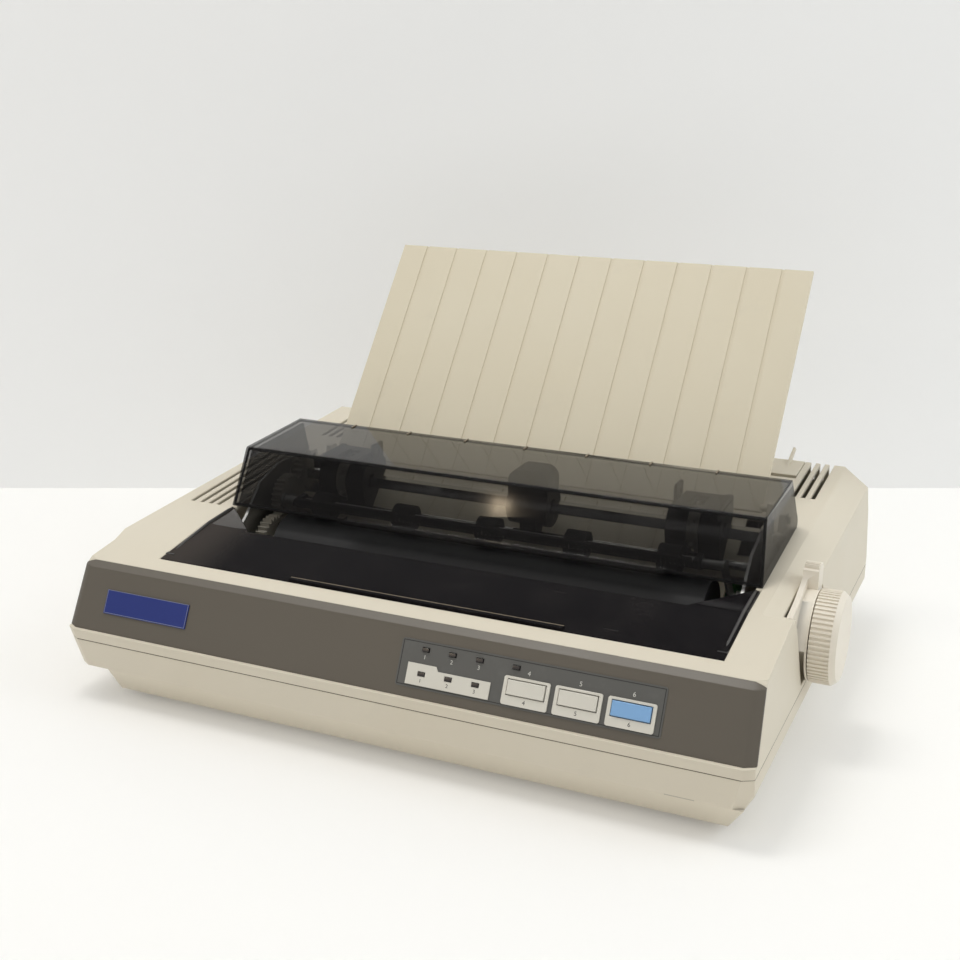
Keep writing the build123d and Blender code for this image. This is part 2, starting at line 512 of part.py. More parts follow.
with BuildPart() as front_panel:
    add(outer_form.part)
    add(panel_slab.part, mode=Mode.INTERSECT)
    for x in key_places:
        panel_block(x, KEY_UP, KEY_WIDTH + 2 * GAP, KEY_HEIGHT + 2 * GAP, -PANEL_THICK - 1, 1,
                    mode=Mode.SUBTRACT)
    for x, up in low_leds + high_leds:
        panel_block(x, up, LED_WIDTH + 0.4, LED_HEIGHT + 0.4, -PANEL_THICK - 1, 1, mode=Mode.SUBTRACT)
finish(front_panel, "front_panel")

with BuildPart() as control_plate:
    with BuildSketch(PANEL_FACE):
        with Locations(((CONTROL_LEFT_X + CONTROL_RIGHT_X) / 2, (CONTROL_LOW + CONTROL_HIGH) / 2)):
            RectangleRounded(CONTROL_RIGHT_X - CONTROL_LEFT_X, CONTROL_HIGH - CONTROL_LOW, 1.5)
        with Locations(*[(x, KEY_UP) for x in key_places]):
            Rectangle(KEY_WIDTH + 2 * GAP, KEY_HEIGHT + 2 * GAP, mode=Mode.SUBTRACT)
        with Locations(*(low_leds + high_leds)):
            Rectangle(LED_WIDTH + 0.4, LED_HEIGHT + 0.4, mode=Mode.SUBTRACT)
    extrude(amount=LABEL_THICK)
finish(control_plate, "control_plate")

LED_PLATE_LEFT, LED_PLATE_STEP, LED_PLATE_RIGHT = 16.1, 31.8, 60.2
LED_PLATE_LOW, LED_PLATE_SHOULDER, LED_PLATE_HIGH, LED_PLATE_THICK = 6.5, 14.8, 17.0, 0.6
with BuildPart() as led_plate:
    with BuildSketch(PANEL_FACE.offset(LABEL_THICK)):
        with BuildLine():
            Polyline((LED_PLATE_LEFT, LED_PLATE_LOW), (LED_PLATE_RIGHT, LED_PLATE_LOW),
                     (LED_PLATE_RIGHT, LED_PLATE_SHOULDER), (LED_PLATE_STEP + 0.6, LED_PLATE_SHOULDER),
                     (LED_PLATE_STEP - 0.6, LED_PLATE_HIGH), (LED_PLATE_LEFT, LED_PLATE_HIGH), close=True)
        make_face()
        with Locations(*low_leds):
            Rectangle(LED_WIDTH + 0.4, LED_HEIGHT + 0.4, mode=Mode.SUBTRACT)
    extrude(amount=LED_PLATE_THICK)
finish(led_plate, "led_plate")

with BuildPart() as key_surrounds:
    with BuildSketch(PANEL_FACE.offset(LABEL_THICK)):
        with Locations(*[(x, FRAME_UP) for x in key_places]):
            RectangleRounded(FRAME_WIDTH, FRAME_HEIGHT, 1.2)
        with Locations(*[(x, KEY_UP) for x in key_places]):
            Rectangle(KEY_WIDTH + 2 * GAP, KEY_HEIGHT + 2 * GAP, mode=Mode.SUBTRACT)
    extrude(amount=FRAME_RISE)
finish(key_surrounds, "key_surrounds")

with BuildPart() as badge_plate:
    with BuildSketch(PANEL_FACE):
        with Locations(((BADGE_LEFT_X + BADGE_RIGHT_X) / 2, (BADGE_LOW + BADGE_HIGH) / 2)):
            Rectangle(BADGE_RIGHT_X - BADGE_LEFT_X, BADGE_HIGH - BADGE_LOW)
    extrude(amount=0.7)
finish(badge_plate, "badge_plate")

with BuildPart() as status_leds:
    for x, up in low_leds + high_leds:
        panel_block(x, up, LED_WIDTH, LED_HEIGHT, -BOARD_GAP, LABEL_THICK + LED_PLATE_THICK + 0.3)
finish(status_leds, "status_leds")

KEY_STEM_END, KEY_FLANGE = 7.2, 1.4
for name, x in zip(("key_left", "key_middle", "key_right"), key_places):
    with BuildPart() as key:
        panel_block(x, KEY_UP, KEY_WIDTH, KEY_HEIGHT, -PANEL_THICK - SEAT - 1, LABEL_THICK + KEY_RISE)
        fillet(key.faces().sort_by(Axis((0, 0, 0), (0, -PANEL_UP_Z, PANEL_UP_Y)))[-1].edges(), 0.5)
        panel_block(x, KEY_UP, KEY_WIDTH + 2 * KEY_FLANGE, KEY_HEIGHT + 2 * KEY_FLANGE,
                    -PANEL_THICK - SEAT - 1.2, -PANEL_THICK - SEAT)
        panel_block(x, KEY_UP, 5, 3.5, -KEY_STEM_END, -PANEL_THICK - SEAT)
    finish(key, name)

with BuildPart() as key_board:
    panel_block((BOARD_LEFT_X + BOARD_RIGHT_X) / 2, (BOARD_LOW + BOARD_HIGH) / 2,
                BOARD_RIGHT_X - BOARD_LEFT_X,
                BOARD_HIGH - BOARD_LOW, -BOARD_GAP - BOARD_THICK, -BOARD_GAP)
    for x in key_places:
        panel_block(x, KEY_UP, 6, 6, -BOARD_GAP, -KEY_STEM_END - KEY_TRAVEL - SEAT)
finish(key_board, "key_board")

# ---------------------------------------------------------------- lid over the ribbon
with BuildPart() as front_cover:
    skin = [(LID_FRONT_Y, brow_z(LID_FRONT_Y)), (BEND_Y, BEND_Z), (EAR_TIP_Y, deck_z(EAR_TIP_Y))]
    prism_x(skin + [(y, z - LID_THICK) for y, z in reversed(skin)], *both_sides(LID_HALF))
    prism_z([(COVER_X - EAR_INNER_HALF, LID_BACK_Y), (COVER_X - LID_HALF + EAR_TIP_WIDTH, EAR_TIP_Y),
             (COVER_X - LID_HALF + EAR_TIP_WIDTH, 0), (COVER_X + LID_HALF - EAR_TIP_WIDTH, 0),
             (COVER_X + LID_HALF - EAR_TIP_WIDTH, EAR_TIP_Y), (COVER_X + EAR_INNER_HALF, LID_BACK_Y)],
            0, FAR, mode=Mode.SUBTRACT)
    prism_x([(LID_FRONT_Y, brow_z(LID_FRONT_Y) - 1), (LID_FRONT_Y + 4, brow_z(LID_FRONT_Y + 4) - 1),
             (LID_FRONT_Y + 3, brow_z(LID_FRONT_Y + 3) + 1.1), (LID_FRONT_Y, brow_z(LID_FRONT_Y) + 1.3)],
            LID_GRIP_LEFT_X, LID_GRIP_RIGHT_X)
    for way in (-1, 1):
        low, high = sorted((COVER_X + way * (LID_HALF - 5), COVER_X + way * LID_HALF))
        rod_x(LID_PIVOT_Y, LID_PIVOT_Z, 2.6, low, high)
        low, high = sorted((COVER_X + way * (LID_HALF - 1),
                            COVER_X + way * (LID_LUG_HALF + LID_LUG_WIDTH - 0.5)))
        rod_x(LID_PIVOT_Y, LID_PIVOT_Z, LID_PIN_R, low, high)
finish(front_cover, "front_cover")

# ---------------------------------------------------------------- hood
hood_foot_z = deck_z(HOOD_FRONT_Y) + SEAT
hood_front = (HOOD_BROW_Y - HOOD_FRONT_Y, HOOD_BROW_Z - hood_foot_z)
hood_front_run = hypot(*hood_front)
front_shift = HOOD_WALL * hood_front_run / hood_front[1]
hood_slope = (HOOD_TOP_BACK_Z - HOOD_BROW_Z) / (HOOD_TOP_BACK_Y - HOOD_BROW_Y)

with BuildPart() as hood_inside:
    prism_x([(HOOD_FRONT_Y + front_shift - hood_front[0], hood_foot_z - hood_front[1]),
             (HOOD_BROW_Y + front_shift - HOOD_WALL * hood_front[0] / hood_front[1],
              HOOD_BROW_Z - HOOD_WALL),
             (FAR, HOOD_BROW_Z - HOOD_WALL + hood_slope * (FAR - HOOD_BROW_Y)), (FAR, 0)],
            *both_sides(HOOD_FOOT_HALF))
    inner_foot, inner_top = HOOD_FOOT_HALF - HOOD_WALL, HOOD_TOP_HALF - HOOD_WALL
    with BuildSketch(Plane.XZ):
        with BuildLine():
            Polyline((COVER_X - inner_foot, 0), (COVER_X - inner_foot, hood_foot_z),
                     (COVER_X - inner_top, HOOD_BROW_Z + 4), (COVER_X + inner_top, HOOD_BROW_Z + 4),
                     (COVER_X + inner_foot, hood_foot_z), (COVER_X + inner_foot, 0), close=True)
        make_face()
    extrude(amount=FAR, both=True, mode=Mode.INTERSECT)

with BuildPart() as hood:
    with BuildSketch(Plane.YZ):
        with BuildLine():
            Polyline((HOOD_FRONT_Y, hood_foot_z), (HOOD_BROW_Y, HOOD_BROW_Z),
                     (HOOD_TOP_BACK_Y, HOOD_TOP_BACK_Z),
                     (HOOD_PIVOT_Y + HOOD_HEEL_R, HOOD_PIVOT_Z), (HOOD_PIVOT_Y, HOOD_PIVOT_Z - HOOD_HEEL_R),
                     close=True)
        make_face()
        with Locations((HOOD_PIVOT_Y, HOOD_PIVOT_Z)):
            Circle(HOOD_HEEL_R)
    extrude(amount=FAR, both=True)
    with BuildSketch(Plane.XZ):
        with BuildLine():
            Polyline((COVER_X - HOOD_FOOT_HALF, hood_foot_z), (COVER_X - HOOD_TOP_HALF, HOOD_BROW_Z + 4),
                     (COVER_X + HOOD_TOP_HALF, HOOD_BROW_Z + 4), (COVER_X + HOOD_FOOT_HALF, hood_foot_z),
                     close=True)
        make_face()
    extrude(amount=FAR, both=True, mode=Mode.INTERSECT)
    fillet(hood.edges().filter_by(Axis.X).sort_by(Axis.Z)[-2:].sort_by(Axis.Y)[0], HOOD_EDGE_R)
    add(hood_inside.part, mode=Mode.SUBTRACT)
    for way in (-1, 1):
        low, high = sorted((COVER_X + way * (HOOD_LUG_HALF + GAP),
                            COVER_X + way * (HOOD_FOOT_HALF - HOOD_WALL / 2)))
        rod_x(HOOD_PIVOT_Y, HOOD_PIVOT_Z, HOOD_PIN_R, low, high)
    prism_x([(HOOD_FRONT_Y + 0.5, hood_foot_z), (HOOD_FRONT_Y - 7.2, hood_foot_z + 1.5),
             (HOOD_FRONT_Y - 7.2, hood_foot_z + 3.2), (HOOD_FRONT_Y + 3, hood_foot_z + 4.5)],
            HOOD_GRIP_LEFT_X, HOOD_GRIP_RIGHT_X)
    for i in range(HOOD_MARKS):
        x = COVER_X + (i - (HOOD_MARKS - 1) / 2) * HOOD_MARK_PITCH
        block(x - 0.5, x + 0.5, HOOD_TOP_BACK_Y - 5, HOOD_TOP_BACK_Y - 0.4, HOOD_TOP_BACK_Z - 1,
              HOOD_TOP_BACK_Z + 0.3)
finish(hood, "hood")

# ---------------------------------------------------------------- paper guide
lean = radians(GUIDE_LEAN)
GUIDE_FACE = Plane(origin=(COVER_X, GUIDE_FOOT_Y, GUIDE_FOOT_Z), x_dir=(1, 0, 0),
                   z_dir=(0, -cos(lean), sin(lean)))
with BuildPart() as paper_guide:
    with BuildSketch(GUIDE_FACE) as guide_outline:
        with Locations((0, (GUIDE_LENGTH - GUIDE_LIP) / 2)):
            Rectangle(2 * GUIDE_HALF, GUIDE_LENGTH + GUIDE_LIP)
    extrude(amount=-GUIDE_THICK)
    with BuildSketch(GUIDE_FACE.offset(-GUIDE_LINE_DEPTH)):
        with Locations((0, GUIDE_LENGTH / 2)):
            with GridLocations(GUIDE_LINE_PITCH, 0, GUIDE_LINES, 1):
                Rectangle(GUIDE_LINE_WIDTH, GUIDE_LENGTH + 20)
    extrude(amount=GUIDE_LINE_DEPTH, mode=Mode.SUBTRACT)
    with BuildSketch(GUIDE_FACE.offset(-GUIDE_THICK)):
        with Locations((0, GUIDE_LENGTH / 2 + 4)):
            with GridLocations(2 * GUIDE_HALF - 3, 0, 2, 1):
                Rectangle(2, GUIDE_LENGTH - 20)
            with GridLocations(90, 0, 3, 1):
                Rectangle(2, GUIDE_LENGTH - 20)
    extrude(amount=-2.5)
    for way in (-1, 1):
        low, high = sorted((COVER_X + way * (GUIDE_HALF - 1.5),
                            COVER_X + way * (GUIDE_LUG_HALF + GUIDE_LUG_WIDTH)))
        rod_x(GUIDE_PIVOT_Y, GUIDE_PIVOT_Z, GUIDE_PIN_R, low, high)
finish(paper_guide, "paper_guide")

ENTRY_SKIN = 2.5
ENTRY_FINS_HALF = 130.5
with BuildPart() as rear_paper_entry:
    prism_x([(ENTRY_Y, deck_z(ENTRY_Y)), (DECK_BACK_Y + 0.3, DECK_BACK_Z), (BACK_Y - 1.6, ENTRY_FLOOR_Z),
             (BACK_Y - 1.6 - WALL, ENTRY_FLOOR_Z), (DECK_BACK_Y + 0.3 - WALL, DECK_BACK_Z - ENTRY_SKIN),
             (ENTRY_Y + 2, deck_z(ENTRY_Y) - ENTRY_SKIN), (ENTRY_Y, deck_z(ENTRY_Y) - 7)],
            *both_sides(ENTRY_HALF - SEAT))
    for x in both_sides(ENTRY_FINS_HALF):
        prism_x([(ENTRY_Y + 8, deck_z(ENTRY_Y + 8) - 1), (BACK_Y - 2, DECK_BACK_Z - 1),
                 (FIN_BACK_Y, DECK_BACK_Z + 4),
                 (FIN_BACK_Y - 3, DECK_BACK_Z + 6)], x - 0.8, x + 0.8)
finish(rear_paper_entry, "rear_paper_entry")

# ---------------------------------------------------------------- frame of the print mechanism
with BuildPart() as base_frame:
    block(TRAY_LEFT_X, TRAY_RIGHT_X, TRAY_FRONT_Y, TRAY_BACK_Y, TRAY_Z, TRAY_TOP_Z)
    prism_x([(TRAY_FRONT_Y, TRAY_Z), (TRAY_FRONT_Y, FRONT_RAIL_Z), (TRAY_FRONT_Y + 12, FRONT_RAIL_Z),
             (TRAY_FRONT_Y + 12, FRONT_RAIL_Z - TRAY_THICK),
             (TRAY_FRONT_Y + TRAY_THICK, FRONT_RAIL_Z - TRAY_THICK),
             (TRAY_FRONT_Y + TRAY_THICK, TRAY_Z)], LEFT_FRAME_X + 1, RIGHT_FRAME_X - 1)
    block(TRAY_RIGHT_X - 6, IDLER_PULLEY_X + 6, BELT_Y - 8, BELT_Y + 8, TRAY_Z, TRAY_TOP_Z)
    rod_z(IDLER_PULLEY_X, BELT_Y, 3.5, TRAY_Z, BELT_Z - 1.3)
    rod_z(IDLER_PULLEY_X, BELT_Y, 2, BELT_Z - 2, BELT_Z + BELT_HEIGHT + 3)
    for x in (-30, 130):
        for y in (30, 108):
            rod_z(x, y, 3, TRAY_Z, TRAY_TOP_Z + 6)
    with BuildSketch(Plane.XY.offset(TRAY_TOP_Z)):
        with GridLocations(60, 100, 5, 2):
            SlotOverall(24, 6)
    extrude(amount=-2 * TRAY_THICK, mode=Mode.SUBTRACT)
finish(base_frame, "base_frame")

PINION_Y = PLATEN_Y + GEAR_MODULE * (PLATEN_TEETH + PINION_TEETH) / 2 * cos(radians(PINION_ANGLE))
PINION_Z = PLATEN_Z + GEAR_MODULE * (PLATEN_TEETH + PINION_TEETH) / 2 * sin(radians(PINION_ANGLE))
# the idler sits where its two centre distances meet, above the line from the platen to the drive shaft
near_run = GEAR_MODULE * (PLATEN_TEETH + IDLER_TEETH) / 2
far_run = GEAR_MODULE * (TRACTOR_TEETH + IDLER_TEETH) / 2
span = hypot(DRIVE_Y - PLATEN_Y, DRIVE_Z - PLATEN_Z)
along = (near_run ** 2 - far_run ** 2 + span ** 2) / (2 * span)
aside = sqrt(near_run ** 2 - along ** 2)
span_y, span_z = (DRIVE_Y - PLATEN_Y) / span, (DRIVE_Z - PLATEN_Z) / span
IDLER_Y = PLATEN_Y + along * span_y - aside * span_z
IDLER_Z = PLATEN_Z + along * span_z + aside * span_y

BUSH_R, SMALL_BUSH_R, STUD_R = 8.0, 6.0, 2.5
frame_outline = [(-108, TRAY_TOP_Z), (-108, 52), (-62, 64), (-41, 78), (-25, 94), (-4, 100), (20, 99),
                 (25, 83),
                 (34, 78), (62, 58), (62, TRAY_TOP_Z)]


def side_frame(way):
    """One steel side of the mechanism, standing on the tray on its bent foot."""
    inner = COVER_X + way * FRAME_INNER_HALF
    low, high = sorted((inner, inner + way * FRAME_THICK))
    foot_low, foot_high = sorted((inner, inner + way * 10))
    with BuildPart() as side:
        prism_x(frame_outline, low, high)
        block(foot_low, foot_high, -60, 62, TRAY_TOP_Z, TRAY_TOP_Z + FRAME_THICK)
        rod_x(PLATEN_Y, PLATEN_Z, BUSH_R + RUNNING, low - 1, high + 1, mode=Mode.SUBTRACT)
        rod_x(DRIVE_Y, DRIVE_Z, SMALL_BUSH_R + RUNNING, low - 1, high + 1, mode=Mode.SUBTRACT)
        rod_x(RAIL_Y, RAIL_Z, RAIL_R + RUNNING, low - 1, high + 1, mode=Mode.SUBTRACT)
        rod_x(ROD_Y, ROD_Z, ROD_R + RUNNING, low - 1, high + 1, mode=Mode.SUBTRACT)
        if way > 0:
            block(low - 1, high + 1, BELT_Y - 11, BELT_Y + 11, BELT_Z - 3, BELT_Z + BELT_HEIGHT + 3,
                  mode=Mode.SUBTRACT)
        prism_x([(0, 24), (50, 24), (50, 50), (14, 60)], low - 1, high + 1, mode=Mode.SUBTRACT)
        stud_low, stud_high = sorted((inner, COVER_X + way * (BAIL_ARM_HALF - 2.0)))
        rod_x(BAIL_PIVOT_Y, BAIL_PIVOT_Z, BAIL_PIVOT_R, stud_low, stud_high)
        if way < 0:
            rod_x(IDLER_Y, IDLER_Z, STUD_R, inner, GEAR_X + GEAR_WIDTH + 1)
            rod_x(IDLER_Y, IDLER_Z, STUD_R + 1.5, inner, GEAR_X - SEAT)
            rod_x(PINION_Y, PINION_Z, 4, low - 1, high + 1, mode=Mode.SUBTRACT)
    return side


finish(side_frame(-1), "left_side_frame")
finish(side_frame(1), "right_side_frame")

with BuildPart() as platen_bushes:
    for way in (-1, 1):
        inner = COVER_X + way * FRAME_INNER_HALF
        low, high = sorted((inner, inner + way * FRAME_THICK))
        rim_low, rim_high = sorted((inner, inner - way * 1.2))
        for y, z, outer, bore in ((PLATEN_Y, PLATEN_Z, BUSH_R, PLATEN_SHAFT_R),
                                  (DRIVE_Y, DRIVE_Z, SMALL_BUSH_R, DRIVE_END_R)):
            rod_x(y, z, outer, low, high)
            rod_x(y, z, outer + 1.5, rim_low, rim_high)
            rod_x(y, z, bore + RUNNING, low - 3, high + 3, mode=Mode.SUBTRACT)
finish(platen_bushes, "platen_bushes")

with BuildPart() as carriage_rod:
    rod_x(ROD_Y, ROD_Z, ROD_R, LEFT_FRAME_X - FRAME_THICK - 3, RIGHT_FRAME_X + FRAME_THICK + 3)
    chamfer(carriage_rod.edges().filter_by(GeomType.CIRCLE), 0.6)
finish(carriage_rod, "carriage_rod")

with BuildPart() as tractor_rail:
    rod_x(RAIL_Y, RAIL_Z, RAIL_R, LEFT_FRAME_X - FRAME_THICK - 2, RIGHT_FRAME_X + FRAME_THICK + 2)
finish(tractor_rail, "tractor_rail")

# ---------------------------------------------------------------- gears


def gear_outline(teeth, phase):
    """Points round a spur gear with one tooth centred at an angle, as a list of (y, z)."""
    pitch_r = GEAR_MODULE * teeth / 2
    flank = tan(radians(20))
    points = []
    for tooth in range(teeth):
        middle = radians(phase) + 2 * pi * tooth / teeth
        for way, depth in ((-1, -1.15), (-1, 0.85), (1, 0.85), (1, -1.15)):
            radius = pitch_r + depth * GEAR_MODULE
            half = (0.19 * pi - depth * flank) * GEAR_MODULE
            angle = middle + way * half / radius
            points.append((radius * cos(angle), radius * sin(angle)))
    return points


def gear_body(y, z, teeth, phase, low=GEAR_X, high=GEAR_X + GEAR_WIDTH):
    """A spur gear about an axis along X."""
    prism_x([(y + dy, z + dz) for dy, dz in gear_outline(teeth, phase)], low, high)


def meshed_phase(phase, teeth, direction, next_teeth):
    """The next gear's phase in mesh with a gear, in the direction of the line between them."""
    pitch = 360 / teeth
    tooth_off = (phase - direction + pitch / 2) % pitch - pitch / 2
    return direction + 180 + 180 / next_teeth - tooth_off * teeth / next_teeth


idler_direction = degrees(atan2(IDLER_Z - PLATEN_Z, IDLER_Y - PLATEN_Y))
tractor_direction = degrees(atan2(DRIVE_Z - IDLER_Z, DRIVE_Y - IDLER_Y))
platen_phase = idler_direction
idler_phase = meshed_phase(platen_phase, PLATEN_TEETH, idler_direction, IDLER_TEETH)
tractor_phase = meshed_phase(idler_phase, IDLER_TEETH, tractor_direction, TRACTOR_TEETH)
pinion_phase = meshed_phase(platen_phase, PLATEN_TEETH, PINION_ANGLE, PINION_TEETH)

with BuildPart() as platen_gear:
    gear_body(PLATEN_Y, PLATEN_Z, PLATEN_TEETH, platen_phase)
    rod_x(PLATEN_Y, PLATEN_Z, 7.5, GEAR_X - 2, GEAR_X + GEAR_WIDTH + 2)
    with BuildSketch(Plane.YZ.offset(GEAR_X)) as holes:
        with Locations((PLATEN_Y, PLATEN_Z)):
            with PolarLocations(11, 5):
                Circle(2)
    extrude(holes.sketch, amount=GEAR_WIDTH, mode=Mode.SUBTRACT)
    rod_x(PLATEN_Y, PLATEN_Z, PLATEN_SHAFT_R + RUNNING / 2, GEAR_X - 3, GEAR_X + GEAR_WIDTH + 3,
          mode=Mode.SUBTRACT)
finish(platen_gear, "platen_gear")

with BuildPart() as idler_gear:
    gear_body(IDLER_Y, IDLER_Z, IDLER_TEETH, idler_phase)
    rod_x(IDLER_Y, IDLER_Z, STUD_R + RUNNING, GEAR_X - 1, GEAR_X + GEAR_WIDTH + 1, mode=Mode.SUBTRACT)
finish(idler_gear, "idler_gear")

with BuildPart() as tractor_gear:
    gear_body(DRIVE_Y, DRIVE_Z, TRACTOR_TEETH, tractor_phase)
    block(GEAR_X - 1, GEAR_X + GEAR_WIDTH + 1, DRIVE_Y - DRIVE_SIDE / 2 - RUNNING / 2,
          DRIVE_Y + DRIVE_SIDE / 2 + RUNNING / 2,
          DRIVE_Z - DRIVE_SIDE / 2 - RUNNING / 2, DRIVE_Z + DRIVE_SIDE / 2 + RUNNING / 2,
          mode=Mode.SUBTRACT)
finish(tractor_gear, "tractor_gear")

MOTOR_LENGTH = 17.5
with BuildPart() as motor_pinion:
    gear_body(PINION_Y, PINION_Z, PINION_TEETH, pinion_phase)
    rod_x(PINION_Y, PINION_Z, 1.5, LEFT_FRAME_X - FRAME_THICK - 8, GEAR_X + 1)
finish(motor_pinion, "motor_pinion")

with BuildPart() as line_feed_motor:
    face_x = LEFT_FRAME_X - FRAME_THICK
    rod_x(PINION_Y, PINION_Z, MOTOR_R, face_x - MOTOR_LENGTH, face_x)
    chamfer(line_feed_motor.edges().filter_by(GeomType.CIRCLE), 1)
    block(face_x - 1, face_x, PINION_Y - 24, PINION_Y + 24, PINION_Z - 6, PINION_Z + 6)
    rod_x(PINION_Y, PINION_Z, 1.5 + RUNNING, face_x - 9, face_x + 1, mode=Mode.SUBTRACT)
finish(line_feed_motor, "line_feed_motor")

# ---------------------------------------------------------------- platen and knob
with BuildPart() as platen_shaft:
    rod_x(PLATEN_Y, PLATEN_Z, PLATEN_SHAFT_R, LEFT_FRAME_X - FRAME_THICK - 3, KNOB_FACE_X - 4)
finish(platen_shaft, "platen_shaft")

with BuildPart() as platen_roller:
    rod_x(PLATEN_Y, PLATEN_Z, PLATEN_R, *both_sides(PLATEN_HALF))
    chamfer(platen_roller.edges().filter_by(GeomType.CIRCLE), 0.6)
    rod_x(PLATEN_Y, PLATEN_Z, PLATEN_SHAFT_R + RUNNING / 2, *both_sides(PLATEN_HALF + 1),
          mode=Mode.SUBTRACT)
finish(platen_roller, "platen_roller")

KNOB_HUB_R, KNOB_CUP_R, KNOB_HUB_X, KNOB_DOME = 7.0, 20.5, LEVER_HIGH_X + 0.8, 3.0
with BuildPart() as platen_knob:
    with BuildSketch(Plane.YZ.offset(KNOB_BACK_X)):
        with Locations((PLATEN_Y, PLATEN_Z)):
            Circle(KNOB_R)
            with PolarLocations(KNOB_R, KNOB_RIBS):
                Rectangle(2 * KNOB_RIB_DEPTH, pi * KNOB_R / KNOB_RIBS, mode=Mode.SUBTRACT)
    extrude(amount=KNOB_FACE_X - KNOB_BACK_X - KNOB_DOME)
    with BuildSketch(Plane.YZ.offset(KNOB_FACE_X - KNOB_DOME)):
        with Locations((PLATEN_Y, PLATEN_Z)):
            Circle(KNOB_R)
    with BuildSketch(Plane.YZ.offset(KNOB_FACE_X)):
        with Locations((PLATEN_Y, PLATEN_Z)):
            Circle(KNOB_R - 2.4)
    loft()
    rod_x(PLATEN_Y, PLATEN_Z, KNOB_CUP_R, KNOB_BACK_X - 1, KNOB_FACE_X - KNOB_DOME, mode=Mode.SUBTRACT)
    rod_x(PLATEN_Y, PLATEN_Z, KNOB_HUB_R, KNOB_HUB_X, KNOB_FACE_X - KNOB_DOME + 1)
    rod_x(PLATEN_Y, PLATEN_Z, PLATEN_SHAFT_R + RUNNING / 2, KNOB_HUB_X - 1, KNOB_FACE_X - 3.9,
          mode=Mode.SUBTRACT)
finish(platen_knob, "platen_knob")

LEVER_PAD_FRONT, LEVER_PAD_RIBS, LEVER_PAD_PITCH = 3.5, 6, 1.5
with BuildPart() as paper_release_lever:
    prism_x([(PLATEN_Y - 20, PLATEN_Z - 8), (PLATEN_Y - 33, PLATEN_Z + 20.5),
             (PLATEN_Y - 16, PLATEN_Z + 23.4),
             (PLATEN_Y + 3, PLATEN_Z + 29), (PLATEN_Y + 12, PLATEN_Z + 30), (PLATEN_Y + 12, PLATEN_Z + 18),
             (PLATEN_Y + 8, PLATEN_Z - 8)], LEVER_LOW_X, LEVER_HIGH_X)
    # drum beside the knob: its upper half fills the slot, and a whole disc covers the case's opening
    with BuildSketch(Plane.YZ.offset(LEVER_HIGH_X)):
        with Locations((PLATEN_Y, PLATEN_Z)):
            Circle(LEVER_DRUM_R)
            Rectangle(2 * LEVER_DRUM_R, LEVER_DRUM_R + 2, align=(Align.CENTER, Align.MAX),
                      mode=Mode.SUBTRACT)
    extrude(amount=LEVER_FACE_X - LEVER_HIGH_X)
    rod_x(PLATEN_Y, PLATEN_Z, LEVER_DRUM_R, SEAM_HALF + 0.6, LEVER_FACE_X)
    prism_x([(PLATEN_Y + 1, PLATEN_Z + 20), (PLATEN_Y + 2, PLATEN_Z + 33), (PLATEN_Y + 6, PLATEN_Z + 35.6),
             (PLATEN_Y + 12, PLATEN_Z + 34.6), (PLATEN_Y + 13.5, PLATEN_Z + 31.5),
             (PLATEN_Y + 13, PLATEN_Z + 18)],
            LEVER_LOW_X, LEVER_FACE_X - 1)
    for i in range(LEVER_PAD_RIBS):
        rise = 0.12 * i * (3 - i)
        with Locations(((LEVER_LOW_X + LEVER_FACE_X - 1) / 2,
                        PLATEN_Y + LEVER_PAD_FRONT + LEVER_PAD_PITCH * i,
                        PLATEN_Z + 34.9 + rise)):
            Box(LEVER_FACE_X - LEVER_LOW_X - 2, LEVER_PAD_PITCH / 2, 2.0)
    rod_x(PLATEN_Y, PLATEN_Z, LEVER_HUB_R, POCKET_X + 0.6, LEVER_HIGH_X + 1)
    rod_x(PLATEN_Y, PLATEN_Z, PLATEN_SHAFT_R + RUNNING, POCKET_X, LEVER_HIGH_X, mode=Mode.SUBTRACT)
    rod_x(PLATEN_Y, PLATEN_Z, KNOB_HUB_R + GAP, LEVER_HIGH_X, KNOB_BACK_X, mode=Mode.SUBTRACT)
finish(paper_release_lever, "paper_release_lever")

# ---------------------------------------------------------------- paper path under the platen
PAN_R, PAN_THICK, PRESS_R, PRESS_SHAFT_R = 21.4, 1.5, 6.0, 2.0
PRESS_Z = PLATEN_Z - PLATEN_R - PRESS_R - SEAT
PRESS_XS = (COVER_X - 90, COVER_X - 30, COVER_X + 30, COVER_X + 90)
PAN_LEG_XS = (COVER_X - 118, COVER_X + 118)
with BuildPart() as paper_pan:
    with BuildSketch(Plane.YZ.offset(COVER_X - PLATEN_HALF + 0.5)):
        with Locations((PLATEN_Y, PLATEN_Z)):
            Circle(PAN_R + PAN_THICK)
            Circle(PAN_R, mode=Mode.SUBTRACT)
        with BuildLine():
            Polyline((PLATEN_Y, PLATEN_Z), (PLATEN_Y - 60, PLATEN_Z - 22), (PLATEN_Y - 60, 0),
                     (PLATEN_Y + 60, 0),
                     (PLATEN_Y + 60, PLATEN_Z - 18), close=True)
        make_face(mode=Mode.INTERSECT)
    extrude(amount=2 * PLATEN_HALF - 1)
    for x in PAN_LEG_XS:
        block(x - 2, x + 2, PLATEN_Y - 5, PLATEN_Y + 5, TRAY_TOP_Z, PLATEN_Z - PAN_R - 0.6)
    for x in PRESS_XS:
        block(x - 11, x + 11, PLATEN_Y - 9, PLATEN_Y + 9, TRAY_TOP_Z + 5, PLATEN_Z - 10, mode=Mode.SUBTRACT)
    rod_x(PLATEN_Y, PRESS_Z, PRESS_SHAFT_R + RUNNING, *both_sides(PLATEN_HALF + 5), mode=Mode.SUBTRACT)
finish(paper_pan, "paper_pan")

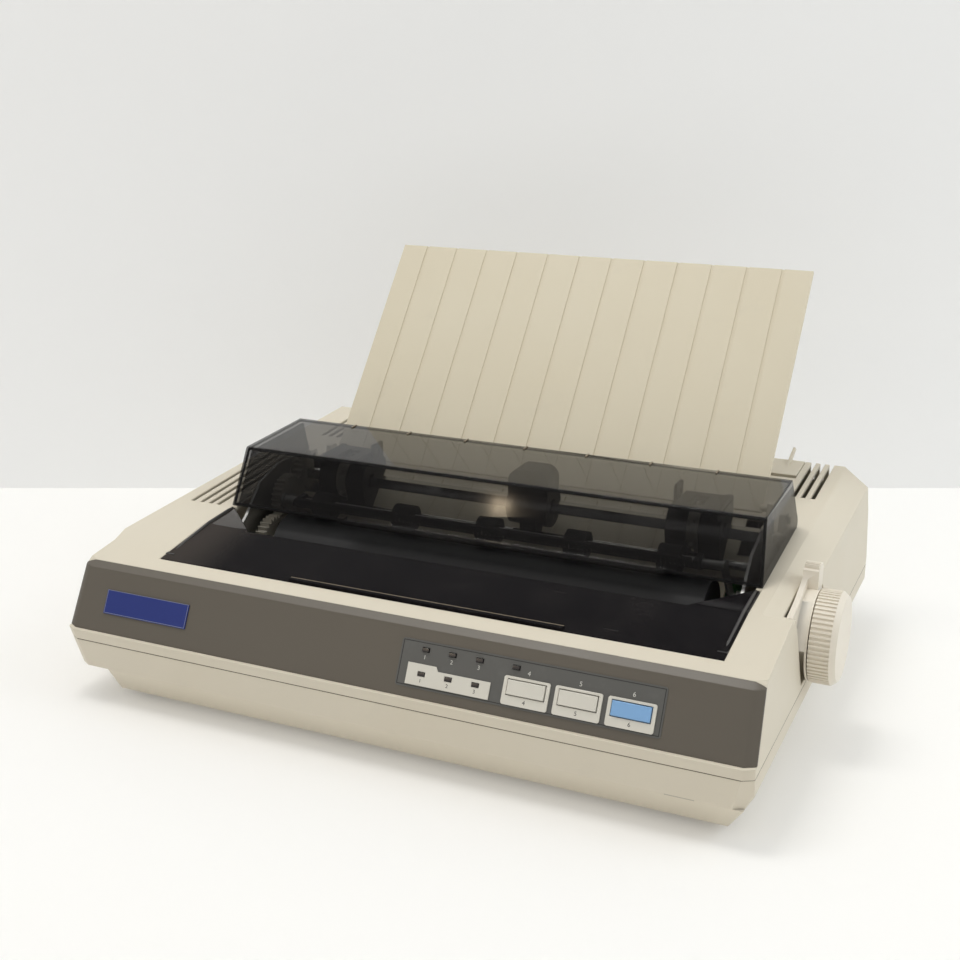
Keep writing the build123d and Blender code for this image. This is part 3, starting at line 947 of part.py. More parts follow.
with BuildPart() as pressure_rollers:
    rod_x(PLATEN_Y, PRESS_Z, PRESS_SHAFT_R, *both_sides(122.0))
    for x in PRESS_XS:
        rod_x(PLATEN_Y, PRESS_Z, PRESS_R, x - 10, x + 10)
finish(pressure_rollers, "pressure_rollers")

CHUTE_TOP_Y, CHUTE_TOP_Z, CHUTE_FOOT_Y, CHUTE_FOOT_Z = 45.5, 88.0, -3.2, 57.0
CHUTE_THICK, CHUTE_HALF, CHUTE_RIBS, CHUTE_RIB_PITCH, CHUTE_RIB_HEIGHT = 2.0, 128.0, 13, 20.0, 1.0
chute_run = hypot(CHUTE_TOP_Y - CHUTE_FOOT_Y, CHUTE_TOP_Z - CHUTE_FOOT_Z)
chute_y, chute_z = (CHUTE_TOP_Y - CHUTE_FOOT_Y) / chute_run, (CHUTE_TOP_Z - CHUTE_FOOT_Z) / chute_run


def chute_band(low, high, start=0.0, end=1.0):
    """The chute's section between two distances from its upper face, over part of its run."""
    first, last = start * chute_run, end * chute_run
    return [(CHUTE_FOOT_Y + run * chute_y - off * chute_z, CHUTE_FOOT_Z + run * chute_z + off * chute_y)
            for run, off in ((first, low), (last, low), (last, high), (first, high))]


with BuildPart() as paper_chute:
    prism_x(chute_band(-CHUTE_THICK, 0), *both_sides(CHUTE_HALF))
    prism_x(chute_band(-CHUTE_THICK, 0, 0.3, 0.55), *both_sides(FRAME_INNER_HALF - SEAT))
    for i in range(CHUTE_RIBS):
        x = COVER_X + (i - (CHUTE_RIBS - 1) / 2) * CHUTE_RIB_PITCH
        prism_x(chute_band(-0.5, CHUTE_RIB_HEIGHT, 0.04, 0.96), x - 0.6, x + 0.6)
finish(paper_chute, "paper_chute")

# ---------------------------------------------------------------- tractors on their shafts
ROUND_BORE_R = DRIVE_SIDE / sqrt(2) + RUNNING
with BuildPart() as tractor_drive_shaft:
    block(GEAR_X - 1, RIGHT_FRAME_X - 2, DRIVE_Y - DRIVE_SIDE / 2, DRIVE_Y + DRIVE_SIDE / 2,
          DRIVE_Z - DRIVE_SIDE / 2, DRIVE_Z + DRIVE_SIDE / 2)
    rod_x(DRIVE_Y, DRIVE_Z, DRIVE_END_R, LEFT_FRAME_X - FRAME_THICK - 2, RIGHT_FRAME_X + FRAME_THICK + 2)
finish(tractor_drive_shaft, "tractor_drive_shaft")

SPROCKET_TIP_R = SPROCKET_R + PIN_HEIGHT
DOOR_HINGE_Z = DRIVE_Z + SPROCKET_R + 2.0
DOOR_REACH = TRACTOR_WIDTH / 2 - 1.6


def tractor_frame(x, way):
    """One tractor's moulded frame; its door hinges on the side that way points to."""
    low, high = x - TRACTOR_WIDTH / 2, x + TRACTOR_WIDTH / 2
    outer_low, outer_high = sorted((x + way * (TRACTOR_WIDTH / 2 - 4), x + way * TRACTOR_WIDTH / 2))
    with BuildPart() as frame:
        rod_x(DRIVE_Y, DRIVE_Z, SPROCKET_R - 0.4, low, high)
        rod_x(RAIL_Y, RAIL_Z, RAIL_R + 1.8, low, high)
        prism_x([(DRIVE_Y - 11, DRIVE_Z - 5), (RAIL_Y - 4.2, RAIL_Z), (RAIL_Y + 4.2, RAIL_Z),
                 (DRIVE_Y + 12, DRIVE_Z - 3)],
                low, high)
        prism_x([(DRIVE_Y, DRIVE_Z), (DRIVE_Y + 6, DRIVE_Z - 8), (DRIVE_Y + 18, DRIVE_Z + 2),
                 (DRIVE_Y + 18, DRIVE_Z + 9),
                 (DRIVE_Y + 14, DRIVE_Z + SPROCKET_R + 0.3), (DRIVE_Y, DRIVE_Z + SPROCKET_R + 0.3)], low,
                high)
        rod_x(DRIVE_Y, DRIVE_Z, SPROCKET_TIP_R + 0.5, x - SPROCKET_WIDTH / 2 - GAP,
              x + SPROCKET_WIDTH / 2 + GAP,
              mode=Mode.SUBTRACT)
        block(outer_low, outer_high, DRIVE_Y - 16.5, DRIVE_Y + 16.5, DRIVE_Z + 9,
              DRIVE_Z + SPROCKET_R + 0.3)
        for y in (DRIVE_Y - 16.5, DRIVE_Y + 14.5):
            block(outer_low, outer_high, y, y + 2, DRIVE_Z + 9, DOOR_HINGE_Z + 1.6)
        tab_low, tab_high = sorted((x - way * (TRACTOR_WIDTH / 2 - 2), x - way * TRACTOR_WIDTH / 2))
        block(tab_low, tab_high, DRIVE_Y + 3, DRIVE_Y + 15, DRIVE_Z + 9, DRIVE_Z + 21)
        rod_x(DRIVE_Y + 9, DRIVE_Z + 16, 2.4, tab_low - 1, tab_high + 1, mode=Mode.SUBTRACT)
        with Locations(Location((x + way * DOOR_REACH, DRIVE_Y, DOOR_HINGE_Z), (90, 0, 0))):
            Cylinder(1.0 + RUNNING, 40, mode=Mode.SUBTRACT)
        rod_x(DRIVE_Y, DRIVE_Z, ROUND_BORE_R, low - 1, high + 1, mode=Mode.SUBTRACT)
        rod_x(RAIL_Y, RAIL_Z, RAIL_R + RUNNING, low - 1, high + 1, mode=Mode.SUBTRACT)
    return frame


def tractor_door(x, way):
    """The flap that holds paper on the sprocket's pins."""
    hinge_x = x + way * DOOR_REACH
    plate_low, plate_high = sorted((hinge_x, x - way * (TRACTOR_WIDTH / 2 - 4)))
    with BuildPart() as door:
        block(plate_low, plate_high, DRIVE_Y - 14.2, DRIVE_Y + 14.2, DOOR_HINGE_Z - 0.6,
              DOOR_HINGE_Z - 0.6 + DOOR_THICK)
        block(x - SPROCKET_WIDTH / 2 - 1, x + SPROCKET_WIDTH / 2 + 1, DRIVE_Y - 8.5, DRIVE_Y + 8.5,
              DOOR_HINGE_Z - 2, DOOR_HINGE_Z + 3, mode=Mode.SUBTRACT)
        with Locations(Location((hinge_x, DRIVE_Y, DOOR_HINGE_Z), (90, 0, 0))):
            Cylinder(1.5, 28.4)
            Cylinder(1.0, 32.6)
    return door


def tractor_wheel(x):
    """A sprocket with its ring of paper pins, on the square shaft."""
    with BuildPart() as wheel:
        rod_x(DRIVE_Y, DRIVE_Z, SPROCKET_R, x - SPROCKET_WIDTH / 2, x + SPROCKET_WIDTH / 2)
        for i in range(SPROCKET_PINS):
            with Locations(Location((x, DRIVE_Y, DRIVE_Z), (360 / SPROCKET_PINS * i, 0, 0))):
                with Locations((0, 0, SPROCKET_R - 1)):
                    Cone(PIN_R, PIN_R * 0.55, PIN_HEIGHT + 1, align=(Align.CENTER, Align.CENTER, Align.MIN))
        side = DRIVE_SIDE + 2 * RUNNING
        block(x - SPROCKET_WIDTH, x + SPROCKET_WIDTH, DRIVE_Y - side / 2, DRIVE_Y + side / 2,
              DRIVE_Z - side / 2,
              DRIVE_Z + side / 2, mode=Mode.SUBTRACT)
    return wheel


for side_name, way in (("left", -1), ("right", 1)):
    tractor_x = COVER_X + way * TRACTOR_REACH
    finish(tractor_frame(tractor_x, way), f"{side_name}_tractor_frame")
    finish(tractor_door(tractor_x, way), f"{side_name}_tractor_door")
    finish(tractor_wheel(tractor_x), f"{side_name}_tractor_wheel")

SUPPORT_X, SUPPORT_WIDTH, SUPPORT_TOP = 20.0, 24.0, 112.6
with BuildPart() as center_support:
    rod_x(DRIVE_Y, DRIVE_Z, SPROCKET_R, SUPPORT_X - SUPPORT_WIDTH / 2, SUPPORT_X + SUPPORT_WIDTH / 2)
    with BuildSketch(Plane.XZ.offset(-DRIVE_Y)) as shoulders:
        with Locations((SUPPORT_X, (DRIVE_Z + SUPPORT_TOP) / 2)):
            RectangleRounded(SUPPORT_WIDTH, SUPPORT_TOP - DRIVE_Z, 7)
        with Locations((SUPPORT_X, DRIVE_Z + 5)):
            Rectangle(SUPPORT_WIDTH, 10)
    extrude(shoulders.sketch, amount=9, both=True)
    rod_x(RAIL_Y, RAIL_Z, RAIL_R + 1.8, SUPPORT_X - 5, SUPPORT_X + 5)
    prism_x([(DRIVE_Y - 9, DRIVE_Z - 5), (RAIL_Y - 4.2, RAIL_Z), (RAIL_Y + 4.2, RAIL_Z),
             (DRIVE_Y + 9, DRIVE_Z - 5)],
            SUPPORT_X - 5, SUPPORT_X + 5)
    rod_x(DRIVE_Y, DRIVE_Z, ROUND_BORE_R, SUPPORT_X - SUPPORT_WIDTH, SUPPORT_X + SUPPORT_WIDTH,
          mode=Mode.SUBTRACT)
    rod_x(RAIL_Y, RAIL_Z, RAIL_R + RUNNING, SUPPORT_X - SUPPORT_WIDTH, SUPPORT_X + SUPPORT_WIDTH,
          mode=Mode.SUBTRACT)
finish(center_support, "center_support")

# ---------------------------------------------------------------- paper bail
BAIL_ARM_HALF_WIDTH = 3.5
bail_run = hypot(BAIL_Y - BAIL_PIVOT_Y, BAIL_Z - BAIL_PIVOT_Z)
bail_y, bail_z = (BAIL_Y - BAIL_PIVOT_Y) / bail_run, (BAIL_Z - BAIL_PIVOT_Z) / bail_run
with BuildPart() as bail_arms:
    for way in (-1, 1):
        near = COVER_X + way * BAIL_ARM_HALF
        low, high = sorted((near, near - way * BAIL_ARM_THICK))
        corner_y, corner_z = -bail_z * BAIL_ARM_HALF_WIDTH, bail_y * BAIL_ARM_HALF_WIDTH
        prism_x([(BAIL_PIVOT_Y - corner_y, BAIL_PIVOT_Z - corner_z),
                 (BAIL_PIVOT_Y + corner_y, BAIL_PIVOT_Z + corner_z),
                 (BAIL_Y + corner_y, BAIL_Z + corner_z), (BAIL_Y - corner_y, BAIL_Z - corner_z)], low, high)
        rod_x(BAIL_Y, BAIL_Z, BAIL_ARM_HALF_WIDTH, low, high)
        rod_x(BAIL_PIVOT_Y, BAIL_PIVOT_Z, BAIL_ARM_HALF_WIDTH, low, high)
        rod_x(BAIL_PIVOT_Y, BAIL_PIVOT_Z, BAIL_PIVOT_R + RUNNING, low - 1, high + 1, mode=Mode.SUBTRACT)
    rod_x(BAIL_Y, BAIL_Z, BAIL_SHAFT_R, *both_sides(BAIL_ARM_HALF))
finish(bail_arms, "bail_arms")

with BuildPart() as bail_rollers:
    for i in range(BAIL_ROLLERS):
        x = COVER_X + (i - (BAIL_ROLLERS - 1) / 2) * BAIL_ROLLER_PITCH
        rod_x(BAIL_Y, BAIL_Z, BAIL_ROLLER_R, x - BAIL_ROLLER_WIDTH / 2, x + BAIL_ROLLER_WIDTH / 2)
        rod_x(BAIL_Y, BAIL_Z, BAIL_SHAFT_R + RUNNING, x - BAIL_ROLLER_WIDTH, x + BAIL_ROLLER_WIDTH,
              mode=Mode.SUBTRACT)
finish(bail_rollers, "bail_rollers")

SCALE_OFF, SCALE_HEIGHT = 9.0, 5.0
with BuildPart() as bail_scale:
    prism_x([(BAIL_Y - SCALE_OFF, BAIL_Z + 1), (BAIL_Y - SCALE_OFF - 1, BAIL_Z + 1 + SCALE_HEIGHT),
             (BAIL_Y - SCALE_OFF - 2, BAIL_Z + SCALE_HEIGHT), (BAIL_Y - SCALE_OFF - 1.2, BAIL_Z)],
            *both_sides(118.0))
    for way in (-1, 1):
        near = COVER_X + way * 118.0
        low, high = sorted((near, near + way * 3.0))
        prism_x([(BAIL_Y - SCALE_OFF - 1.2, BAIL_Z), (BAIL_Y - SCALE_OFF, BAIL_Z + 4),
                 (BAIL_Y + 2, BAIL_Z + 4.6),
                 (BAIL_Y + 4.4, BAIL_Z), (BAIL_Y, BAIL_Z - 4.2)], low, high)
        rod_x(BAIL_Y, BAIL_Z, BAIL_SHAFT_R + RUNNING, low - 1, high + 1, mode=Mode.SUBTRACT)
finish(bail_scale, "bail_scale")

# ---------------------------------------------------------------- carriage, head and ribbon
HEAD_Z, HEAD_R, HEAD_FRONT_Y, HEAD_BACK_Y = 61.5, 11.2, -84.0, -64.0
NOSE_Y = PLATEN_Y - PLATEN_R - HEAD_GAP
DECK_LOW_Z, DECK_HIGH_Z = 47.0, 50.0
with BuildPart() as carriage:
    block(CARRIAGE_X - CARRIAGE_HALF, CARRIAGE_X + CARRIAGE_HALF, BELT_Y + PULLEY_R + 2.3, ROD_Y + 10,
          ROD_Z - 9, DECK_HIGH_Z)
    block(CARRIAGE_X - CARRIAGE_HALF, CARRIAGE_X + CARRIAGE_HALF, TRAY_FRONT_Y + 2, ROD_Y + 10, DECK_LOW_Z,
          DECK_HIGH_Z)
    block(CARRIAGE_X - 8, CARRIAGE_X + 8, TRAY_FRONT_Y + 3, TRAY_FRONT_Y + 10, FRONT_RAIL_Z + SEAT,
          DECK_LOW_Z + 1)
    block(CARRIAGE_X - 8, CARRIAGE_X + 8, BELT_Y + PULLEY_R - 2.5, BELT_Y + PULLEY_R - 0.3, BELT_Z - 1,
          DECK_LOW_Z + 1)
    rod_x(ROD_Y, ROD_Z, ROD_R + RUNNING, CARRIAGE_X - FAR, CARRIAGE_X + FAR, mode=Mode.SUBTRACT)
finish(carriage, "carriage")

with BuildPart() as print_head:
    with Locations(Location((CARRIAGE_X, (HEAD_FRONT_Y + HEAD_BACK_Y) / 2, HEAD_Z), (90, 0, 0))):
        Cylinder(HEAD_R - 2, HEAD_BACK_Y - HEAD_FRONT_Y)
    for i in range(5):
        y = HEAD_FRONT_Y + 1.2 + 4.2 * i
        with Locations(Location((CARRIAGE_X, y, HEAD_Z), (90, 0, 0))):
            Cylinder(HEAD_R, 1.6)
    prism_x([(HEAD_BACK_Y - 1, HEAD_Z + 6), (NOSE_Y - 4, PLATEN_Z + 5), (NOSE_Y, PLATEN_Z + 3),
             (NOSE_Y, PLATEN_Z - 3),
             (NOSE_Y - 4, PLATEN_Z - 4), (HEAD_BACK_Y - 1, HEAD_Z - 8)], CARRIAGE_X - 5, CARRIAGE_X + 5)
    block(CARRIAGE_X - 7, CARRIAGE_X + 7, HEAD_FRONT_Y + 1, HEAD_BACK_Y, DECK_HIGH_Z, HEAD_Z)
finish(print_head, "print_head")

RIBBON_HALF, RIBBON_LOW_Z, RIBBON_HIGH_Z = 38.0, 52.0, 64.0
with BuildPart() as ribbon_cartridge:
    prism_z([(CARRIAGE_X - RIBBON_HALF, -90), (CARRIAGE_X - RIBBON_HALF + 6, -104),
             (CARRIAGE_X + RIBBON_HALF - 6, -104),
             (CARRIAGE_X + RIBBON_HALF, -90), (CARRIAGE_X + RIBBON_HALF, -52),
             (CARRIAGE_X + RIBBON_HALF - 6, -49),
             (CARRIAGE_X + RIBBON_HALF - 6, -86), (CARRIAGE_X - RIBBON_HALF + 6, -86),
             (CARRIAGE_X - RIBBON_HALF + 6, -49), (CARRIAGE_X - RIBBON_HALF, -52)], RIBBON_LOW_Z,
            RIBBON_HIGH_Z)
    block(CARRIAGE_X - RIBBON_HALF + 2, CARRIAGE_X + RIBBON_HALF - 2, NOSE_Y + 0.4, NOSE_Y + 0.7,
          PLATEN_Z - 5, PLATEN_Z + 6)
    for way in (-1, 1):
        low, high = sorted((CARRIAGE_X + way * (RIBBON_HALF - 5), CARRIAGE_X + way * (RIBBON_HALF - 2)))
        prism_z([(low, -51), (high, -51), (high, NOSE_Y + 0.7), (low, NOSE_Y + 0.7)], PLATEN_Z - 4,
                PLATEN_Z + 5)
    block(CARRIAGE_X - 20, CARRIAGE_X + 20, -102, -88, DECK_HIGH_Z, RIBBON_LOW_Z)
    rod_z(CARRIAGE_X + 22, -95, 4.5, RIBBON_HIGH_Z - 1, RIBBON_HIGH_Z + 2.5)
finish(ribbon_cartridge, "ribbon_cartridge")

with BuildPart() as carriage_belt:
    middle, length = (DRIVE_PULLEY_X + IDLER_PULLEY_X) / 2, IDLER_PULLEY_X - DRIVE_PULLEY_X
    with BuildSketch(Plane.XY.offset(BELT_Z)):
        with Locations((middle, BELT_Y)):
            SlotOverall(length + 2 * (PULLEY_R + RUNNING + BELT_THICK),
                        2 * (PULLEY_R + RUNNING + BELT_THICK))
            SlotOverall(length + 2 * (PULLEY_R + RUNNING), 2 * (PULLEY_R + RUNNING), mode=Mode.SUBTRACT)
    extrude(amount=BELT_HEIGHT)
finish(carriage_belt, "carriage_belt")


def belt_pulley(x, bore):
    """A flanged pulley for the carriage belt, turning about a vertical axis."""
    with BuildPart() as pulley:
        rod_z(x, BELT_Y, PULLEY_R, BELT_Z - 1, BELT_Z + BELT_HEIGHT + 1)
        rod_z(x, BELT_Y, PULLEY_R + PULLEY_RIM, BELT_Z - 1, BELT_Z - SEAT)
        rod_z(x, BELT_Y, PULLEY_R + PULLEY_RIM, BELT_Z + BELT_HEIGHT + SEAT, BELT_Z + BELT_HEIGHT + 1)
        if bore:
            rod_z(x, BELT_Y, bore, BELT_Z - 2, BELT_Z + BELT_HEIGHT + 2, mode=Mode.SUBTRACT)
        else:
            rod_z(x, BELT_Y, 1.5, TRAY_TOP_Z + 8, BELT_Z)
    return pulley


finish(belt_pulley(DRIVE_PULLEY_X, 0), "drive_pulley")
finish(belt_pulley(IDLER_PULLEY_X, 2 + RUNNING), "belt_idler_pulley")

with BuildPart() as carriage_motor:
    rod_z(DRIVE_PULLEY_X, BELT_Y, MOTOR_R, TRAY_TOP_Z, BELT_Z - 1.8)
    chamfer(carriage_motor.edges().filter_by(GeomType.CIRCLE), 1)
    rod_z(DRIVE_PULLEY_X, BELT_Y, 1.5 + RUNNING, TRAY_TOP_Z + 7, BELT_Z, mode=Mode.SUBTRACT)
finish(carriage_motor, "carriage_motor")

# ---------------------------------------------------------------- electronics and the back
BOARD_Z = TRAY_TOP_Z + 6
with BuildPart() as main_board:
    block(-36, 136, 24, 114, BOARD_Z, BOARD_Z + 1.6)
    with Locations((20, 88, BOARD_Z + 1.6), (70, 88, BOARD_Z + 1.6), (110, 60, BOARD_Z + 1.6)):
        Box(40, 14, 4, align=(Align.CENTER, Align.CENTER, Align.MIN))
    with Locations((10, 50, BOARD_Z + 1.6)):
        with GridLocations(24, 20, 3, 2):
            Box(19, 7, 3.5, align=(Align.CENTER, Align.CENTER, Align.MIN))
    for x, y in ((-24, 40), (-24, 62), (-24, 84)):
        rod_z(x, y, 7, BOARD_Z + 1, BOARD_Z + 26)
finish(main_board, "main_board")

with BuildPart() as transformer:
    block(-124, -64, 40, 90, TRAY_TOP_Z, TRAY_TOP_Z + 40)
    block(-110, -78, 32, 98, TRAY_TOP_Z + 6, TRAY_TOP_Z + 34)
    fillet(transformer.edges().filter_by(Axis.Z), 2)
    block(-132, -56, 56, 74, TRAY_TOP_Z, TRAY_TOP_Z + 2)
finish(transformer, "transformer")

PLATE_Y, PLATE_THICK, PLATE_FOOT_Z = 139.8, 1.2, 29.0
with BuildPart() as rear_plate:
    prism_x([(125, TRAY_TOP_Z), (125, PLATE_FOOT_Z + PLATE_THICK), (PLATE_Y, PLATE_FOOT_Z + PLATE_THICK),
             (PLATE_Y, 68),
             (PLATE_Y + PLATE_THICK, 68), (PLATE_Y + PLATE_THICK, PLATE_FOOT_Z),
             (125 + PLATE_THICK, PLATE_FOOT_Z),
             (125 + PLATE_THICK, TRAY_TOP_Z)], TRAY_LEFT_X + 0.5, 122)
    block(POWER_X - 28.5, POWER_X + 28.5, PLATE_Y - 1, FAR, POWER_Z - 10.3, POWER_Z + 10.3,
          mode=Mode.SUBTRACT)
    block(PORT_X - 27.3, PORT_X + 27.3, PLATE_Y - 1, FAR, PORT_Z - 6.3, PORT_Z + 6.3, mode=Mode.SUBTRACT)
    for x in (-90, 0, 116):
        block(x - 3, x + 3, 120, 125 + 3, TRAY_TOP_Z + 6, PLATE_FOOT_Z - 6, mode=Mode.SUBTRACT)
finish(rear_plate, "rear_plate")

SOCKET_X, SWITCH_X, SWITCH_HALF, ROCKER_Y = POWER_X - 14.5, POWER_X + 15.5, 8.0, 138.0
with BuildPart() as power_inlet:
    block(POWER_X - 28, POWER_X + 28, 120, PLATE_Y + PLATE_THICK, POWER_Z - 10, POWER_Z + 10)
    block(POWER_X - 31, POWER_X + 31, PLATE_Y + PLATE_THICK, PLATE_Y + PLATE_THICK + 2.5, POWER_Z - 12,
          POWER_Z + 12)
    with BuildSketch(Plane.XZ.offset(-FAR)) as mouth:
        with BuildLine():
            Polyline((SOCKET_X - 12, POWER_Z - 8), (SOCKET_X + 12, POWER_Z - 8),
                     (SOCKET_X + 12, POWER_Z + 4),
                     (SOCKET_X + 8, POWER_Z + 8), (SOCKET_X - 8, POWER_Z + 8), (SOCKET_X - 12, POWER_Z + 4),
                     close=True)
        make_face()
    extrude(mouth.sketch, amount=FAR - 126, mode=Mode.SUBTRACT)
    for dx, dz in ((-6, -2), (6, -2), (0, 3)):
        block(SOCKET_X + dx - 1, SOCKET_X + dx + 1, 125, 138, POWER_Z + dz - 2, POWER_Z + dz + 2)
    block(SWITCH_X - SWITCH_HALF, SWITCH_X + SWITCH_HALF, 128, FAR, POWER_Z - 9, POWER_Z + 9,
          mode=Mode.SUBTRACT)
    for way in (-1, 1):
        low, high = sorted((SWITCH_X + way * SWITCH_HALF, SWITCH_X + way * (SWITCH_HALF - 1.2)))
        rod_x(ROCKER_Y, POWER_Z, 1.4, low, high)
finish(power_inlet, "power_inlet")

with BuildPart() as power_rocker:
    prism_x([(ROCKER_Y - 4, POWER_Z - 4), (ROCKER_Y + 4.6, POWER_Z - 7.6), (ROCKER_Y + 5, POWER_Z),
             (ROCKER_Y + 7.6, POWER_Z + 6.4), (ROCKER_Y - 4, POWER_Z + 4)], SWITCH_X - SWITCH_HALF + 0.4,
            SWITCH_X + SWITCH_HALF - 0.4)
    rod_x(ROCKER_Y, POWER_Z, 1.4 + RUNNING, SWITCH_X - SWITCH_HALF, SWITCH_X - SWITCH_HALF + 1.5,
          mode=Mode.SUBTRACT)
    rod_x(ROCKER_Y, POWER_Z, 1.4 + RUNNING, SWITCH_X + SWITCH_HALF - 1.5, SWITCH_X + SWITCH_HALF,
          mode=Mode.SUBTRACT)
finish(power_rocker, "power_rocker")

with BuildPart() as interface_connector:
    block(PORT_X - 27, PORT_X + 27, 128, PLATE_Y + PLATE_THICK, PORT_Z - 6, PORT_Z + 6)
    block(PORT_X - 34, PORT_X + 34, PLATE_Y + PLATE_THICK, PLATE_Y + PLATE_THICK + 1.2, PORT_Z - 8,
          PORT_Z + 8)
    block(PORT_X - 29, PORT_X + 29, PLATE_Y + PLATE_THICK, PLATE_Y + 7, PORT_Z - 6.5, PORT_Z + 6.5)
    block(PORT_X - 27, PORT_X + 27, PLATE_Y - 1, FAR, PORT_Z - 5, PORT_Z + 5, mode=Mode.SUBTRACT)
    block(PORT_X - 24, PORT_X + 24, PLATE_Y - 2, PLATE_Y + 5, PORT_Z - 1.5, PORT_Z + 1.5)
    for x in (PORT_X - 31.5, PORT_X + 31.5):
        with Locations(Location((x, PLATE_Y, PORT_Z), (90, 0, 0))):
            Cylinder(1.5, 20, mode=Mode.SUBTRACT)
finish(interface_connector, "interface_connector")
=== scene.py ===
"""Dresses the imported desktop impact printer: camera, room, finishes and the fine detail on its solids.

Everything is in metres in the row's own frame: X runs along the platen to the right, Y to the back, Z up.
"""

import json
import logging
import math
from dataclasses import dataclass
from enum import Enum
from typing import Any, Callable, Iterable, Mapping, Optional, Sequence, Union

import bmesh
import bpy
import numpy as np
from bpy.types import ID, Material, Mesh, Node, NodeSocket, Object, World
from mathutils import Matrix, Vector
from mathutils.geometry import convex_hull_2d

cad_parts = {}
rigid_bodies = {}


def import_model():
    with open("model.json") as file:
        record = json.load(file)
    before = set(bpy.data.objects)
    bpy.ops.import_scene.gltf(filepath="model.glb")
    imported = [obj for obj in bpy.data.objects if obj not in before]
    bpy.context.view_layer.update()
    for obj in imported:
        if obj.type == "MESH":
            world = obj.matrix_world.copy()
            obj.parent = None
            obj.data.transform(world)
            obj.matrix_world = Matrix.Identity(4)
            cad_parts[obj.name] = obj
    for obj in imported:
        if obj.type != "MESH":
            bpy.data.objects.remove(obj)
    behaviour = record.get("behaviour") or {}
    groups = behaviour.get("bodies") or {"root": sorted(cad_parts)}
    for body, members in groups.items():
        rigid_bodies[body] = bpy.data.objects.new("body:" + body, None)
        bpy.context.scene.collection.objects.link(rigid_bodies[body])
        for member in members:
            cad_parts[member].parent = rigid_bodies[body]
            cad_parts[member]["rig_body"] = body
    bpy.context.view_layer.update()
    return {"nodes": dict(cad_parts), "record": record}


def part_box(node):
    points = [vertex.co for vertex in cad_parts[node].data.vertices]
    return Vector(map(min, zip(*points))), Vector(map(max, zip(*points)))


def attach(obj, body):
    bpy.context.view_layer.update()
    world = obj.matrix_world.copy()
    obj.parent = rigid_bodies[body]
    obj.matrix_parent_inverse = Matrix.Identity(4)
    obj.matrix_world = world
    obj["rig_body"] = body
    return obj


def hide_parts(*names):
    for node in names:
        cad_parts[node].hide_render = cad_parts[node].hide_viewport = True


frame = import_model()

LOG = logging.getLogger("printer")

Colour = tuple[float, float, float]
Point = tuple[float, float, float]
Place = tuple[float, float]
Paint = Mapping[str, Material]
Pieces = Iterable[Object]
MM = 0.001
AIR: Colour = (1.0, 0.995, 0.98)

# The covers' middle in X, and the (Y, Z) of the hood's front at its lower and its upper edge.
COVER_X = 0.4 * MM
HOOD_FOOT = (-45.5 * MM, 82.65 * MM)
HOOD_BROW = (-31.6 * MM, 115.1 * MM)
SIDES = (-1, 1)

# No settings or inputs for a node, and the middle of a noise's values.
NONE: Mapping[Any, Any] = {}
NOISE_MIDDLE = 0.5

# The places of a Mix node's colour sockets.
MIX_FACTOR, MIX_FIRST, MIX_SECOND, MIX_RESULT = 0, 6, 7, 2


# ------------------------------------------------------------------ shader graph
def operator(operation: str, swapped: bool = False) -> Callable[["Socket", Any], "Socket"]:
    """A method for Socket that adds one Math node.

    Args:
        operation: The Math node's operation.
        swapped: Whether the socket itself is the second value.

    Returns:
        The method.
    """
    def join(self: "Socket", other: Any) -> "Socket":
        """The result of the operation on this value and another."""
        first, second = (other, self) if swapped else (self, other)
        return self.tree.value("ShaderNodeMath", {"operation": operation}, {0: first, 1: second})
    return join


class Socket:
    """A float output of a shader node, with arithmetic that adds Math nodes."""

    def __init__(self, tree: "Tree", output: NodeSocket) -> None:
        """Wraps one output.

        Args:
            tree: The tree that the output belongs to.
            output: The output socket.
        """
        self.tree = tree
        self.output = output

    __add__ = __radd__ = operator("ADD")
    __sub__ = operator("SUBTRACT")
    __rsub__ = operator("SUBTRACT", swapped=True)
    __mul__ = __rmul__ = operator("MULTIPLY")
    __pow__ = operator("POWER")

    def band(self, low: float, high: float) -> "Socket":
        """Runs smoothly from 0 to 1 between two values.

        Args:
            low: Where the result is 0.
            high: Where the result is 1.

        Returns:
            The eased value.
        """
        return self.tree.value("ShaderNodeMapRange", {"interpolation_type": "SMOOTHSTEP"},
                               {"Value": self, "From Min": low, "From Max": high})


class Tree:
    """A tree of shader nodes, to which nodes are added with their inputs already fed."""

    def __init__(self, owner: Union[Material, World]) -> None:
        """Starts an empty tree.

        Args:
            owner: The material or world that the tree belongs to.
        """
        owner.use_nodes = True
        self.node_tree = owner.node_tree
        self.node_tree.nodes.clear()

    def node(self, kind: str, settings: Mapping[str, Any] = NONE,
             inputs: Mapping[Union[str, int], Any] = NONE) -> Node:
        """Adds a node, sets its settings and then its inputs.

        Args:
            kind: The node's type.
            settings: Properties of the node.
            inputs: Values or links by input name or place.

        Returns:
            The node.
        """
        made = self.node_tree.nodes.new(kind)
        for key, value in settings.items():
            setattr(made, key, value)
        for key, value in inputs.items():
            self.feed(made.inputs[key], value)
        return made

    def value(self, kind: str, settings: Mapping[str, Any] = NONE,
              inputs: Mapping[Union[str, int], Any] = NONE, output: Union[str, int] = 0) -> Socket:
        """Adds a node as above and gives one of its outputs, by name or place, to reckon with."""
        return Socket(self, self.node(kind, settings, inputs).outputs[output])

    def feed(self, target: NodeSocket, value: Any) -> None:
        """Links or sets one input.

        Args:
            target: The input.
            value: A Socket, an output socket, or a plain value.
        """
        if isinstance(value, Socket):
            self.node_tree.links.new(value.output, target)
        elif isinstance(value, NodeSocket):
            self.node_tree.links.new(value, target)
        elif isinstance(value, tuple) and len(value) == 3 and target.type == "RGBA":
            target.default_value = (*value, 1.0)
        else:
            target.default_value = value


